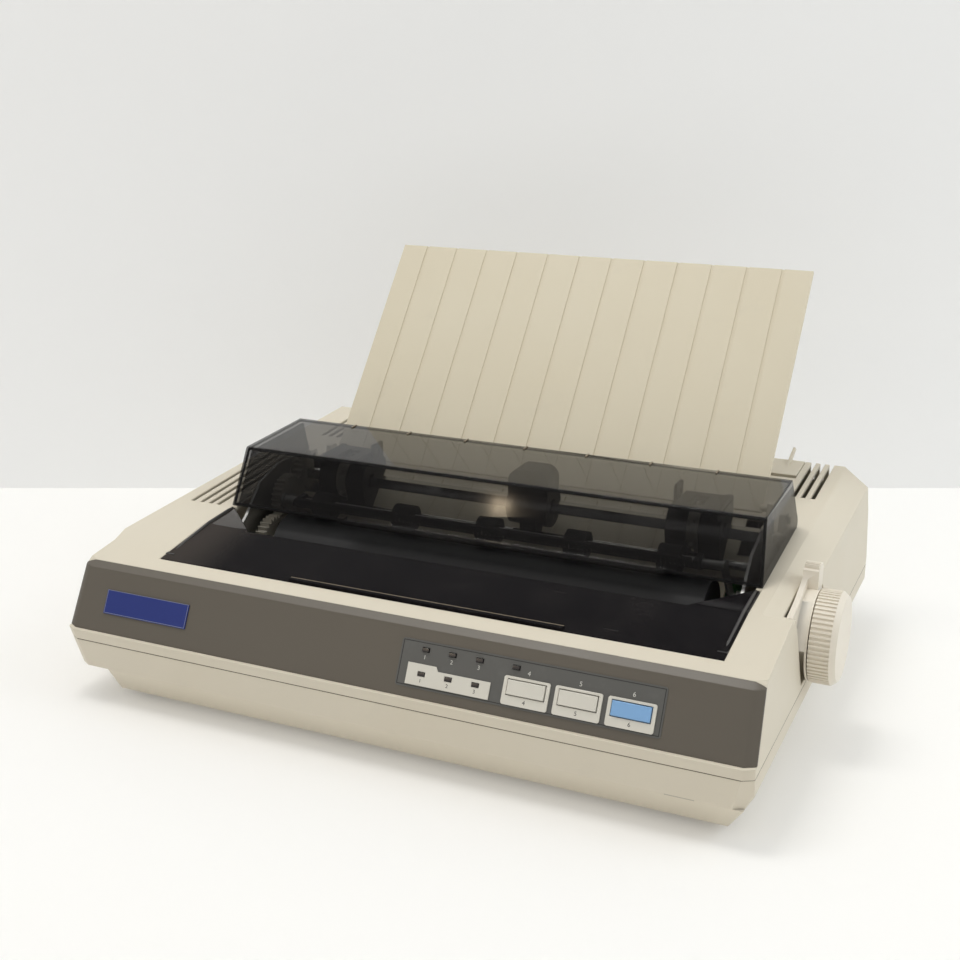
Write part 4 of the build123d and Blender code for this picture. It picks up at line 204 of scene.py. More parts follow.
class Graph(Tree):
    """A material's nodes round one Principled BSDF."""

    def __init__(self, name: str) -> None:
        """Starts a material.

        Args:
            name: Its name.
        """
        self.material = bpy.data.materials.new(name)
        super().__init__(self.material)
        self.bsdf = self.node("ShaderNodeBsdfPrincipled")
        self.output = self.node("ShaderNodeOutputMaterial", inputs={"Surface": self.bsdf.outputs[0]})
        self.place = self.node("ShaderNodeTexCoord").outputs["Object"]

    def stretched(self, scale: Point, turn: Point = (0.0, 0.0, 0.0)) -> NodeSocket:
        """The object's coordinates scaled along its axes.

        Args:
            scale: Factor along each axis.
            turn: Turn about each axis in radians.

        Returns:
            The mapped vector output.
        """
        return self.node("ShaderNodeMapping",
                         inputs={"Vector": self.place, "Scale": scale, "Rotation": turn}).outputs[0]

    def noise(self, size: float, detail: float = 2.0, rough: float = 0.5,
              place: Optional[NodeSocket] = None) -> Socket:
        """Soft noise from 0 to 1.

        Args:
            size: The size of its features in metres.
            detail: How many finer octaves it has.
            rough: How strong the finer octaves are.
            place: Coordinates, or the object's own where none are given.

        Returns:
            The noise.
        """
        return self.value("ShaderNodeTexNoise", inputs={"Vector": place or self.place, "Scale": 1.0 / size,
                                                        "Detail": detail, "Roughness": rough})

    def axis(self, index: int) -> Socket:
        """One of the object's coordinates, in metres."""
        return self.value("ShaderNodeSeparateXYZ", inputs={0: self.place}, output=index)

    def blend(self, first: Any, second: Any, factor: Any) -> NodeSocket:
        """Mixes two colours.

        Args:
            first: The colour at factor 0.
            second: The colour at factor 1.
            factor: The share of the second.

        Returns:
            The mixed colour.
        """
        made = self.node("ShaderNodeMix", {"data_type": "RGBA"},
                         {MIX_FACTOR: factor, MIX_FIRST: first, MIX_SECOND: second})
        return made.outputs[MIX_RESULT]

    def relief(self, height: Socket) -> NodeSocket:
        """A normal bent by a height in metres."""
        return self.node("ShaderNodeBump",
                         inputs={"Strength": 1.0, "Distance": 1.0, "Height": height}).outputs[0]

    def finish(self, **inputs: Any) -> Material:
        """Feeds the Principled BSDF.

        Args:
            **inputs: Values or links by input name, with underscores for spaces.

        Returns:
            The material.
        """
        for key, value in inputs.items():
            self.feed(self.bsdf.inputs[key.replace("_", " ")], value)
        return self.material


# ------------------------------------------------------------------ finishes
def shaded(colour: Colour, share: float, lift: float = 0.0) -> Colour:
    """A colour times a share plus a lift, kept at 1 or below."""
    return tuple(min(1.0, channel * share + lift) for channel in colour)


@dataclass(frozen=True)
class Moulded:
    """Spark-eroded moulded plastic with faint yellowing, handling marks and fine grain.

    Each size is that of one kind of mark: the grain, the blotches, the wide yellowing, the places that hands
    rubbed, the specks of dirt and the slow swell of the wall. A share is how strongly a mark shows.
    """

    name: str
    base: Colour
    aged: Colour
    grain: float = 0.45 * MM
    depth: float = 0.010 * MM
    rough: float = 0.5
    spread: float = 0.12
    blotch: float = 50 * MM
    wide: float = 160 * MM
    rubbed: float = 22 * MM
    speck: float = 1.1 * MM
    swell: float = 12 * MM
    swell_depth: float = 0.02 * MM
    soiled: float = 0.72
    aged_share: float = 0.45
    dirt_share: float = 0.10
    polish: float = 0.08

    def build(self) -> Material:
        """Makes the material."""
        g = Graph(self.name)
        cloud = g.noise(self.blotch, detail=3.0, rough=0.55)
        wide = g.noise(self.wide)
        rubbed = g.noise(self.rubbed, detail=6.0, rough=0.65).band(0.56, 0.74)
        speck = g.noise(self.speck).band(0.70, 0.78)
        tone = g.blend(self.base, self.aged, cloud * self.aged_share + wide * self.aged_share)
        tone = g.blend(tone, shaded(self.base, self.soiled),
                       rubbed * self.dirt_share + speck * self.dirt_share)
        grain = g.noise(self.grain, detail=3.0, rough=0.6)
        swell = g.noise(self.swell, detail=1.0)
        return g.finish(Base_Color=tone, IOR=1.5,
                        Roughness=self.rough + (cloud - NOISE_MIDDLE) * self.spread - rubbed * self.polish,
                        Normal=g.relief(grain * self.depth + swell * self.swell_depth))


@dataclass(frozen=True)
class Smoked:
    """Smoked clear acrylic: dark, polished, seen through more when looked at squarely.

    Past a place along one axis it faces the bright wall, and there its clear coat goes from dull to glossy.
    Its left end may take a painted show-through: painted light of the pale case close below, seen through it.
    """

    name: str
    tint: Colour
    block: float
    axis: int
    bright: Place
    rough: float = 0.06
    dull: float = 0.05
    glossy: float = 0.75
    gloss: float = 0.06
    painted_show_through: Optional[Colour] = None
    painted_show_through_span: Place = (-150.0 * MM, -112.0 * MM)
    painted_show_through_share: float = 0.85
    dust: Colour = (0.20, 0.18, 0.16)
    mote: float = 1.6 * MM
    smear: float = 30 * MM
    hair: float = 3.5 * MM
    hair_run: Point = (0.12, 1.0, 1.0)
    hair_turn: Point = (0.0, 0.0, 0.5)
    veil: float = 0.55
    veil_power: float = 3.0
    swell_depth: float = 0.02 * MM

    def build(self) -> Material:
        """Makes the material."""
        g = Graph(self.name)
        facing = g.value("ShaderNodeLayerWeight", inputs={"Blend": 0.5}, output="Facing")
        dust = g.noise(self.mote, detail=3.0, rough=0.7).band(0.66, 0.80)
        smear = g.noise(self.smear, detail=5.0, rough=0.6).band(0.45, 0.75)
        slant = g.stretched(self.hair_run, self.hair_turn)
        hair = g.noise(self.hair, place=slant).band(0.70, 0.74)
        veil = (facing ** self.veil_power) * self.veil
        alpha = self.block + (1.0 - self.block) * veil + dust * 0.05 + smear * 0.02
        tone = g.blend(self.tint, self.dust, dust * 0.22 + hair * 0.05 + smear * 0.03)
        # painted light: the pale case close below, as seen through the left end, painted into the colour
        if self.painted_show_through:
            tone = g.blend(tone, self.painted_show_through, (1.0 - g.axis(0).band(*self.painted_show_through_span)) * self.painted_show_through_share)
        swell = g.noise(self.smear, detail=1.0)
        coat = g.axis(self.axis).band(*self.bright) * (self.glossy - self.dull) + self.dull
        return g.finish(Base_Color=tone, Alpha=alpha, Roughness=self.rough + smear * 0.05 + dust * 0.15,
                        Normal=g.relief(swell * self.swell_depth), Specular_IOR_Level=self.gloss,
                        Coat_Weight=coat, Coat_Roughness=0.05, Coat_IOR=1.5)


class Grain(Enum):
    """The axis along which a metal's brushing runs."""

    ALONG_X = (0.02, 1.0, 1.0)
    ALONG_Y = (1.0, 0.02, 1.0)


@dataclass(frozen=True)
class Metal:
    """Worked metal with fine drawn lines and a light film of dust."""

    name: str
    base: Colour
    rough: float
    grain: Grain = Grain.ALONG_X
    line: float = 0.35 * MM
    depth: float = 0.004 * MM
    film: float = 30 * MM
    spangle: float = 6 * MM
    tarnish: float = 0.68
    film_share: float = 0.55
    spangle_share: float = 0.25
    film_cover: float = 0.25

    def build(self) -> Material:
        """Makes the material."""
        g = Graph(self.name)
        lines = g.noise(self.line, detail=3.0, rough=0.6, place=g.stretched(self.grain.value))
        film = g.noise(self.film, detail=4.0, rough=0.6)
        spangle = g.noise(self.spangle)
        tone = g.blend(self.base, shaded(self.base, self.tarnish),
                       film * self.film_share + spangle * self.spangle_share)
        return g.finish(Base_Color=tone, Metallic=1.0 - film.band(0.62, 0.9) * self.film_cover,
                        Roughness=self.rough + (lines - NOISE_MIDDLE) * 0.12 + film * 0.08,
                        Normal=g.relief(lines * self.depth))


@dataclass(frozen=True)
class Rubber:
    """Matt rubber with a grey bloom and a ground surface."""

    name: str
    base: Colour
    rough: float = 0.75
    bloom: float = 12 * MM
    bloom_share: float = 0.5
    ground: float = 0.5 * MM
    depth: float = 0.02 * MM

    def build(self) -> Material:
        """Makes the material."""
        g = Graph(self.name)
        bloom = g.noise(self.bloom, detail=5.0, rough=0.6).band(0.42, 0.8)
        ground = g.noise(self.ground, detail=3.0, rough=0.6)
        tone = g.blend(self.base, shaded(self.base, share=2.2, lift=0.01), bloom * self.bloom_share)
        return g.finish(Base_Color=tone, Roughness=self.rough + bloom * 0.12,
                        Normal=g.relief(ground * self.depth))


@dataclass(frozen=True)
class Film:
    """A printed label film: even colour with an orange-peel gloss."""

    name: str
    base: Colour
    rough: float = 0.42
    metal: float = 0.0
    peel: float = 0.9 * MM
    depth: float = 0.006 * MM
    worn: float = 10 * MM
    worn_share: float = 0.7

    def build(self) -> Material:
        """Makes the material."""
        g = Graph(self.name)
        peel = g.noise(self.peel)
        worn = g.noise(self.worn, detail=5.0, rough=0.65).band(0.5, 0.8)
        tone = g.blend(self.base, shaded(self.base, share=1.18, lift=0.006), worn * self.worn_share)
        return g.finish(Base_Color=tone, Roughness=self.rough + worn * 0.12, Metallic=self.metal,
                        Normal=g.relief(peel * self.depth))


@dataclass(frozen=True)
class Plain:
    """Evenly painted board of the room, with a faint wide change of tone and a little light of its own.

    A one-sided board can't be seen from behind.
    """

    name: str
    base: Colour
    rough: float
    glow: float
    one_sided: bool = False
    wide: float = 0.7
    shade: float = 0.965

    def build(self) -> Material:
        """Makes the material."""
        g = Graph(self.name)
        wide = g.noise(self.wide, detail=1.0, rough=0.4)
        tone = g.blend(self.base, shaded(self.base, self.shade), wide)
        if self.one_sided:
            behind = g.node("ShaderNodeNewGeometry").outputs["Backfacing"]
            clear = g.node("ShaderNodeBsdfTransparent").outputs[0]
            either = g.node("ShaderNodeMixShader", inputs={0: behind, 1: g.bsdf.outputs[0], 2: clear})
            g.feed(g.output.inputs["Surface"], either.outputs[0])
        return g.finish(Base_Color=tone, Roughness=self.rough + wide * 0.04, Specular_IOR_Level=0.2,
                        Emission_Color=AIR, Emission_Strength=self.glow)


@dataclass(frozen=True)
class Board:
    """A lacquered circuit board with its tracks showing through."""

    name: str
    base: Colour
    track: Colour
    rough: float = 0.32
    cells: float = 90.0
    track_share: float = 0.6
    film: float = 20 * MM
    film_share: float = 0.15
    copper: float = 0.03 * MM

    def build(self) -> Material:
        """Makes the material."""
        g = Graph(self.name)
        cell = g.node("ShaderNodeTexBrick", {"offset": 0.37, "squash": 0.6},
                      {"Vector": g.place, "Scale": self.cells, "Mortar Size": 0.06,
                       "Color1": (0.0, 0.0, 0.0), "Color2": (0.0, 0.0, 0.0), "Mortar": (1.0, 1.0, 1.0)})
        tracks = g.value("ShaderNodeSeparateColor", inputs={0: cell.outputs[0]})
        film = g.noise(self.film, detail=3.0)
        tone = g.blend(self.base, self.track, tracks * self.track_share + film * self.film_share)
        return g.finish(Base_Color=tone, Roughness=self.rough + film * self.film_share,
                        Normal=g.relief(tracks * self.copper))


@dataclass(frozen=True)
class Laminated:
    """A varnished stack of steel sheets."""

    name: str
    base: Colour
    rough: float = 0.45
    metal: float = 0.3
    gap: float = 0.45
    sheet: float = 0.6 * MM
    sheet_share: float = 0.7
    depth: float = 0.05 * MM
    varnish: float = 15 * MM
    varnish_share: float = 0.3

    def build(self) -> Material:
        """Makes the material."""
        g = Graph(self.name)
        sheets = g.noise(self.sheet, detail=1.0, rough=0.4, place=g.stretched((0.01, 0.01, 1.0)))
        varnish = g.noise(self.varnish, detail=4.0, rough=0.6)
        tone = g.blend(self.base, shaded(self.base, self.gap),
                       sheets * self.sheet_share + varnish * self.varnish_share)
        return g.finish(Base_Color=tone, Roughness=self.rough + varnish * 0.2, Metallic=self.metal,
                        Normal=g.relief(sheets * self.depth))


def finishes() -> dict[str, Material]:
    """Builds every finish that the record's slots name, and a few for added detail.

    Returns:
        Materials by slot name.
    """
    kinds = [
        Moulded("case_plastic", (0.680, 0.630, 0.525), (0.650, 0.585, 0.460)),
        Moulded("panel_plastic", (0.116, 0.100, 0.078), (0.104, 0.090, 0.070), rough=0.42),
        Moulded("guide_plastic", (0.680, 0.625, 0.490), (0.650, 0.575, 0.420), rough=0.46),
        Moulded("knob_plastic", (0.800, 0.745, 0.645), (0.760, 0.695, 0.580), rough=0.44),
        Moulded("black_plastic", (0.014, 0.014, 0.015), (0.022, 0.021, 0.020), rough=0.48),
        Moulded("white_plastic", (0.700, 0.680, 0.610), (0.650, 0.620, 0.540), 0.3 * MM, rough=0.38),
        Moulded("blue_plastic", (0.230, 0.430, 0.720), (0.200, 0.390, 0.660), 0.3 * MM, rough=0.36),
        Moulded("gear_plastic", (0.420, 0.395, 0.335), (0.360, 0.330, 0.270), rough=0.4),
        Moulded("tractor_plastic", (0.026, 0.026, 0.029), (0.036, 0.034, 0.034), rough=0.5),
        Smoked("smoked_plastic", (0.012, 0.011, 0.011), 0.54, 2, (114.7 * MM, 115.3 * MM)),
        Smoked("cover_plastic", (0.007, 0.006, 0.007), 0.955, 1, (-73.0 * MM, -71.5 * MM),
               # painted light of the pale case showing through the lid's left end
               dull=0.012, gloss=0.02, painted_show_through=(0.050, 0.042, 0.037)),
        Film("dark_label", (0.098, 0.097, 0.090)),
        Film("badge_blue", (0.006, 0.021, 0.175), 0.40),
        Film("lamp_plastic", (0.020, 0.016, 0.016), 0.22),
        Film("label_white", (0.640, 0.630, 0.580), 0.5),
        Film("tick_tan", (0.200, 0.160, 0.110), 0.5),
        # painted shade: a darker case colour for the shade in the chin's notch
        Film("case_shade", (0.440, 0.405, 0.335), 0.5),
        # painted sheen: a lighter grey than the lid for the rounded tops of the lid's rims
        Film("rim_painted_sheen", (0.050, 0.047, 0.044), 0.34),
        # painted shade: a dark colour for the shade in the groove of the seam
        Film("seam_painted_shade", (0.130, 0.110, 0.080), 0.6),
        # painted highlight: a lighter blue for the bright rim along the badge's edge
        Film("badge_edge_highlight", (0.180, 0.200, 0.300), 0.35),
        Film("edge_smoke", (0.006, 0.006, 0.007), 0.14),
        Film("motor_metal", (0.016, 0.016, 0.018), 0.35, 0.2),
        Rubber("rubber", (0.020, 0.020, 0.020)),
        Rubber("platen_rubber", (0.012, 0.012, 0.013), 0.55),
        Rubber("belt_rubber", (0.018, 0.018, 0.019)),
        Metal("steel", (0.560, 0.560, 0.545), 0.36),
        Metal("polished_steel", (0.640, 0.640, 0.630), 0.16, depth=0.002 * MM),
        Metal("aluminium", (0.520, 0.520, 0.520), 0.42, Grain.ALONG_Y),
        Metal("contact_gold", (0.720, 0.520, 0.220), 0.28),
        Board("board", (0.020, 0.090, 0.035), (0.060, 0.180, 0.060)),
        Laminated("core_metal", (0.160, 0.140, 0.120)),
    ]
    return {kind.name: kind.build() for kind in kinds}


# ------------------------------------------------------------------ meshes
def body_of(node: str) -> str:
    """The CAD body that a node belongs to."""
    bodies = frame["record"]["behaviour"]["bodies"]
    return next(body for body, members in bodies.items() if node in members)


def slot_of(node: str) -> str:
    """The record's material slot of a node."""
    return next(s["material_slot"] for s in frame["record"]["subparts"] if s["node"] == node)


def placed(name: str, data: ID) -> Object:
    """An object in the scene round a mesh, a lamp, a camera or a curve."""
    made = bpy.data.objects.new(name, data)
    bpy.context.scene.collection.objects.link(made)
    return made


def smooth(mesh: Mesh, angle: float) -> None:
    """Shades a mesh smooth except over edges sharper than an angle in degrees."""
    mesh.polygons.foreach_set("use_smooth", np.ones(len(mesh.polygons), bool))
    mesh.set_sharp_from_angle(angle=math.radians(angle))


def new_piece(name: str, mesh: Mesh, material: Material, slot: str, body: str, angle: float = 0.0) -> Object:
    """Puts a finished mesh in the scene, riding on a body.

    Args:
        name: The piece's name.
        mesh: Its mesh, already in place.
        material: Its material.
        slot: A record's slot named with the piece; not used.
        body: The body that carries it.
        angle: Edges sharper than this many degrees stay sharp, or all of them at 0.

    Returns:
        The object.
    """
    if angle:
        smooth(mesh, angle)
    made = placed(name, mesh)
    mesh.materials.clear()
    mesh.materials.append(material)
    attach(made, body)
    return made


@dataclass(frozen=True)
class Softened:
    """A solid's copy with its facets joined and its outer edges rounded.

    An edge is rounded by the width where it is outward, sharper than an angle in degrees and longer than the
    shortest, which is counted in widths.
    """

    node: str
    width: float = 0.0
    segments: int = 2
    sharp: float = 30.0
    shortest: float = 3.0
    merge: float = 0.002 * MM
    flat: float = 0.6
    rounded: float = 38.0

    def build(self, paint: Paint) -> Object:
        """Makes the copy and lets it stand for its node.

        Args:
            paint: Materials by slot.

        Returns:
            The piece.
        """
        mesh = frame["nodes"][self.node].data.copy()
        mesh.name = "soft_" + self.node
        work = bmesh.new()
        work.from_mesh(mesh)
        bmesh.ops.remove_doubles(work, verts=work.verts, dist=self.merge)
        bmesh.ops.dissolve_limit(work, angle_limit=math.radians(self.flat), verts=work.verts,
                                 edges=work.edges)
        if self.width:
            least = self.width * self.shortest
            picked = [e for e in work.edges if e.is_manifold and e.is_convex and e.calc_length() > least
                      and e.calc_face_angle(0.0) > math.radians(self.sharp)]
            bmesh.ops.bevel(work, geom=picked, offset=self.width, offset_type="OFFSET",
                            segments=self.segments, profile=0.5, affect="EDGES", clamp_overlap=False)
        work.to_mesh(mesh)
        work.free()
        slot = slot_of(self.node)
        made = new_piece(mesh.name, mesh, paint[slot], slot, body_of(self.node), self.rounded)
        made.modifiers.new("even", "WEIGHTED_NORMAL").keep_sharp = True
        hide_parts(self.node)
        return made


def mesh_of(name: str, points: Any, faces: Sequence[Sequence[int]]) -> Mesh:
    """A mesh over points in metres and faces of their numbers."""
    mesh = bpy.data.meshes.new(name)
    mesh.from_pydata(np.reshape(points, (-1, 3)).tolist(), [], faces)
    return mesh


def outward(mesh: Mesh) -> Mesh:
    """The mesh, with every closed shell's faces turned outwards."""
    work = bmesh.new()
    work.from_mesh(mesh)
    bmesh.ops.recalc_face_normals(work, faces=work.faces)
    work.to_mesh(mesh)
    work.free()
    return mesh


def grid_mesh(name: str, grid: np.ndarray) -> Mesh:
    """A mesh over a grid of points whose rows run along the form and whose columns run round it.

    Face (i, j) joins the points (i, j), (i, j + 1), (i + 1, j + 1) and (i + 1, j), and the last column joins
    the first. A cap is one face over the first or the last row.

    Args:
        name: The mesh's name.
        grid: Points as an array of rows, columns and coordinates, in metres.

    Returns:
        The mesh, with its faces turned outwards.
    """
    rows, columns = grid.shape[:2]
    index = np.arange(rows * columns).reshape(rows, columns)
    after = np.roll(index, -1, axis=1)
    faces = np.stack([index[:-1], after[:-1], after[1:], index[1:]], -1).reshape(-1, 4).tolist()
    faces += [index[0, ::-1].tolist(), index[-1].tolist()]
    return outward(mesh_of(name, grid, faces))


def rod_grid(path: np.ndarray, radius: Union[float, np.ndarray], sides: int, flat: float = 1.0) -> np.ndarray:
    """Points round a rod that follows a path.

    The rod's ring at each point is centre + radius * (cos(t) * side + flat * sin(t) * rise), where side is
    square to the path and to a fixed reference, and rise is square to both.

    Args:
        path: The path's points in metres.
        radius: The rod's radius, or one for each point.
        sides: How many points a ring has.
        flat: The ring's height over its width.

    Returns:
        The grid of points.
    """
    along = np.gradient(path, axis=0)
    along /= np.linalg.norm(along, axis=1, keepdims=True)
    main = np.abs(along).sum(axis=0)
    reference = np.zeros(3)
    reference[int(np.argmin(main))] = 1.0
    side = np.cross(along, reference)
    side /= np.linalg.norm(side, axis=1, keepdims=True)
    rise = np.cross(side, along)
    turn = np.linspace(0.0, 2.0 * math.pi, sides, endpoint=False)
    across, up = np.cos(turn)[None, :, None], flat * np.sin(turn)[None, :, None]
    ring = across * side[:, None] + up * rise[:, None]
    return path[:, None] + np.broadcast_to(np.asarray(radius, float), (len(path),))[:, None, None] * ring


def bars_mesh(name: str, centres: np.ndarray, halves: Sequence[float], axes: Sequence[Point] = ()) -> Mesh:
    """One mesh of equal small bars.

    Each corner is the bar's centre plus or minus its half sizes along its axes.

    Args:
        name: The mesh's name.
        centres: The bars' centres in metres.
        halves: Half of a bar's size along each of its axes, in metres.
        axes: The three axes, or the frame's own where none are given.

    Returns:
        The mesh.
    """
    signs = np.array([(x, y, z) for z in (-1, 1) for x, y in ((-1, -1), (1, -1), (1, 1), (-1, 1))], float)
    turned = (signs * np.asarray(halves)) @ (np.asarray(axes, float) if axes else np.eye(3))
    points = centres[:, None] + turned[None]
    sides = np.array([(0, 3, 2, 1), (4, 5, 6, 7), (0, 1, 5, 4), (1, 2, 6, 5), (2, 3, 7, 6), (3, 0, 4, 7)])
    faces = (sides[None] + 8 * np.arange(len(points))[:, None, None]).reshape(-1, 4)
    return outward(mesh_of(name, points, faces.tolist()))


def along_x(x: np.ndarray, y: float, z: float) -> np.ndarray:
    """Points at several places along X, all at one Y and one Z."""
    return np.stack([x, np.full_like(x, y), np.full_like(x, z)], 1)


def spread(count: int, pitch: float) -> np.ndarray:
    """Evenly spaced places with their middle at 0."""
    return (np.arange(count) - (count - 1) / 2) * pitch


def joined(name: str, parts: Sequence[Mesh]) -> Mesh:
    """One mesh made of several, which are deleted."""
    work = bmesh.new()
    for part in parts:
        work.from_mesh(part)
        bpy.data.meshes.remove(part)
    mesh = bpy.data.meshes.new(name)
    work.to_mesh(mesh)
    work.free()
    return mesh


@dataclass(frozen=True)
class Span:
    """A CAD node's box: its lowest and highest corners, in metres."""

    low: Vector
    high: Vector

    @classmethod
    def of(cls, node: str) -> "Span":
        """The box of one node."""
        low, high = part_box(node)
        return cls(Vector(low), Vector(high))

    @property
    def middle(self) -> Vector:
        """The box's middle."""
        return (self.low + self.high) / 2


# ------------------------------------------------------------------ room
@dataclass(frozen=True)
class Lamp:
    """A soft square lamp: its place, what it points at, its side in metres and its power in watts."""

    name: str
    place: Point
    aim: Point
    size: float
    power: float
    colour: Colour

    def hang(self) -> None:
        """Puts the lamp in the scene."""
        data = bpy.data.lights.new(self.name, "AREA")
        data.size = self.size
        data.energy = self.power
        data.color = self.colour
        made = placed(self.name, data)
        made.location = self.place
        made.rotation_euler = (Vector(self.aim) - Vector(self.place)).to_track_quat("-Z", "Y").to_euler()


@dataclass
class Room:
    """The pale table, the wall behind it, the soft lamps and the camera.

    The highlight is where in the picture the hood's front mirrors the small bulb, measured from the picture's
    middle in shares of its width. The sky is the range that turns a direction's height into the room's own
    light.
    """

    eye: Point = (0.2903, -0.6781, 0.3406)
    yaw: float = 24.41
    pitch: float = 17.68
    lens: float = 51.3
    sensor: float = 36.0
    wall_away: float = 1.047
    wall_high: float = 2.4
    reach: float = 4.0
    sky: Sequence[tuple[str, float]] = (("From Min", -0.1), ("From Max", 0.9),
                                        ("To Min", 0.42), ("To Max", 0.80))
    lamps: Sequence[Lamp] = (
        Lamp("ceiling", (-0.5, 0.15, 1.9), (0.0, 0.1, 0.0), 0.8, 22.0, (1.0, 0.985, 0.955)),
        Lamp("window", (1.6, 0.6, 1.2), (0.1, 0.0, 0.05), 1.2, 9.0, (0.86, 0.94, 1.0)))
    highlight: Place = (20.0 / 960.0, -28.0 / 960.0)
    bulb_away: float = 1.5
    bulb_size: float = 0.028
    bulb_power: float = 0.42
    bulb_warm: Colour = (1.0, 0.80, 0.55)

    def ahead(self) -> Vector:
        """The camera's level direction."""
        return Vector((-math.sin(math.radians(self.yaw)), math.cos(math.radians(self.yaw)), 0.0))

    def camera(self) -> None:
        """Places the camera."""
        data = bpy.data.cameras.new("camera")
        data.lens = self.lens
        data.sensor_width = self.sensor
        made = placed("camera", data)
        made.location = self.eye
        made.rotation_euler = (math.radians(90.0 - self.pitch), 0.0, math.radians(self.yaw))
        bpy.context.scene.camera = made

    def sheet(self, name: str, corners: Sequence[Point], material: Material) -> None:
        """A flat stage sheet over four corners."""
        mesh = mesh_of(name, corners, [(0, 1, 2, 3)])
        mesh.materials.append(material)
        placed(name, mesh)

    def surfaces(self) -> None:
        """The table and the wall, which can't be seen from behind."""
        table = Plain("table_white", (0.820, 0.814, 0.796), 0.6, 0.135).build()
        paint = Plain("wall_white", (0.785, 0.790, 0.788), 0.85, 0.165, one_sided=True).build()
        far = self.reach
        self.sheet("table", [(-far, -far, 0.0), (far, -far, 0.0), (far, far, 0.0), (-far, far, 0.0)], table)
        foot = Vector((self.eye[0], self.eye[1], 0.0)) + self.ahead() * self.wall_away
        side = Vector((self.ahead().y, -self.ahead().x, 0.0)) * far
        up = Vector((0.0, 0.0, self.wall_high))
        self.sheet("wall", [foot - side, foot + side, foot + side + up, foot - side + up], paint)

    def bulb(self) -> Lamp:
        """A small warm lamp behind the camera, placed where the hood's front mirrors it.

        The camera's ray to the highlight meets the front plane, and the lamp hangs along the mirrored ray.

        Returns:
            The lamp.
        """
        level = Matrix.Rotation(math.radians(self.yaw), 3, "Z")
        turn = level @ Matrix.Rotation(math.radians(90.0 - self.pitch), 3, "X")
        ray = (turn @ Vector((*self.highlight, -self.lens / self.sensor))).normalized()
        rise = Vector((0.0, HOOD_BROW[0] - HOOD_FOOT[0], HOOD_BROW[1] - HOOD_FOOT[1]))
        normal = Vector((0.0, -rise.z, rise.y)).normalized()
        start = Vector((0.0, *HOOD_FOOT)) - Vector(self.eye)
        hit = Vector(self.eye) + ray * (start.dot(normal) / ray.dot(normal))
        mirrored = ray - normal * (2.0 * ray.dot(normal))
        return Lamp("bulb", tuple(hit + mirrored * self.bulb_away), tuple(hit), self.bulb_size,
                    self.bulb_power, self.bulb_warm)

    def light(self) -> None:
        """The lamps and the room's own light."""
        scene = bpy.context.scene
        scene.view_settings.view_transform = "Standard"
        scene.world = bpy.data.worlds.new("room")
        tree = Tree(scene.world)
        place = tree.node("ShaderNodeTexCoord").outputs["Generated"]
        height = tree.node("ShaderNodeSeparateXYZ", inputs={0: place}).outputs[2]
        ramp = tree.node("ShaderNodeMapRange", inputs={"Value": height, **dict(self.sky)})
        back = tree.node("ShaderNodeBackground", inputs={"Color": AIR, "Strength": ramp.outputs[0]})
        tree.node("ShaderNodeOutputWorld", inputs={"Surface": back.outputs[0]})
        for lamp in (*self.lamps, self.bulb()):
            lamp.hang()

    def build(self) -> None:
        """Builds the whole room."""
        self.camera()
        self.surfaces()
        self.light()


# ------------------------------------------------------------------ sub-assemblies
@dataclass
class Casework:
    """The case, its front panel and its covers, with rounded edges."""

    shells: Sequence[Softened] = (
        Softened("upper_case", 0.5 * MM), Softened("lower_case", 0.6 * MM),
        Softened("front_panel", 0.35 * MM), Softened("hood", 0.45 * MM),
        Softened("front_cover", 0.4 * MM), Softened("paper_guide", 0.1 * MM, sharp=60.0),
        Softened("rear_paper_entry", 0.35 * MM), Softened("platen_knob", 0.22 * MM, shortest=1.5),
        Softened("paper_release_lever", 0.25 * MM), Softened("rubber_feet"))

    def build(self, paint: Paint) -> Pieces:
        """Makes each shell in turn."""
        for shell in self.shells:
            yield shell.build(paint)


@dataclass
class HoodEdges:
    """The hood's edges, where light meets the smoked wall end on and it looks black.

    A rod runs inside the wall along each edge. Its ends are the hood's corners drawn in: along X by the
    inset, and along Y and Z by the inset times that edge's pull.
    """

    back: Place = (27.6 * MM, 117.9 * MM)
    foot_half: float = 157.1 * MM
    top_half: float = 154.1 * MM
    inset: float = 1.15 * MM
    brow_pull: Place = (0.75, -1.05)
    back_pull: Place = (-1.0, -1.0)
    foot_pull: Place = (1.3, 0.8)
    brow_radius: float = 0.95 * MM
    front_radius: float = 0.72 * MM
    radius: float = 0.6 * MM

    def drawn_in(self, edge: Place, pull: Place) -> Place:
        """The (Y, Z) of an edge's rod."""
        return edge[0] + pull[0] * self.inset, edge[1] + pull[1] * self.inset

    def rod(self, start: Point, end: Point, radius: float) -> Mesh:
        """A straight rod with closed ends between two points."""
        share = np.linspace(0.0, 1.0, 3)[:, None]
        path = np.array(start)[None] * (1 - share) + np.array(end)[None] * share
        return grid_mesh("edge", rod_grid(path, radius, 10))

    def build(self, paint: Paint) -> Pieces:
        """Makes all the rods as one mesh."""
        brow = self.drawn_in(HOOD_BROW, self.brow_pull)
        back = self.drawn_in(self.back, self.back_pull)
        foot = self.drawn_in(HOOD_FOOT, self.foot_pull)
        top, wide = self.top_half - self.inset, self.foot_half - self.inset
        parts = [self.rod((COVER_X - half, *edge), (COVER_X + half, *edge), radius)
                 for half, edge, radius in ((top, brow, self.brow_radius), (top, back, self.radius),
                                            (wide, foot, self.radius))]
        for way in SIDES:
            top_x, foot_x = COVER_X + way * top, COVER_X + way * wide
            parts.append(self.rod((foot_x, *foot), (top_x, *brow), self.front_radius))
            parts.append(self.rod((top_x, *brow), (top_x, *back), self.radius))
        mesh = joined("hood_edges", parts)
        yield new_piece("hood_edges", mesh, paint["edge_smoke"], "smoked_plastic", "hood_cover")


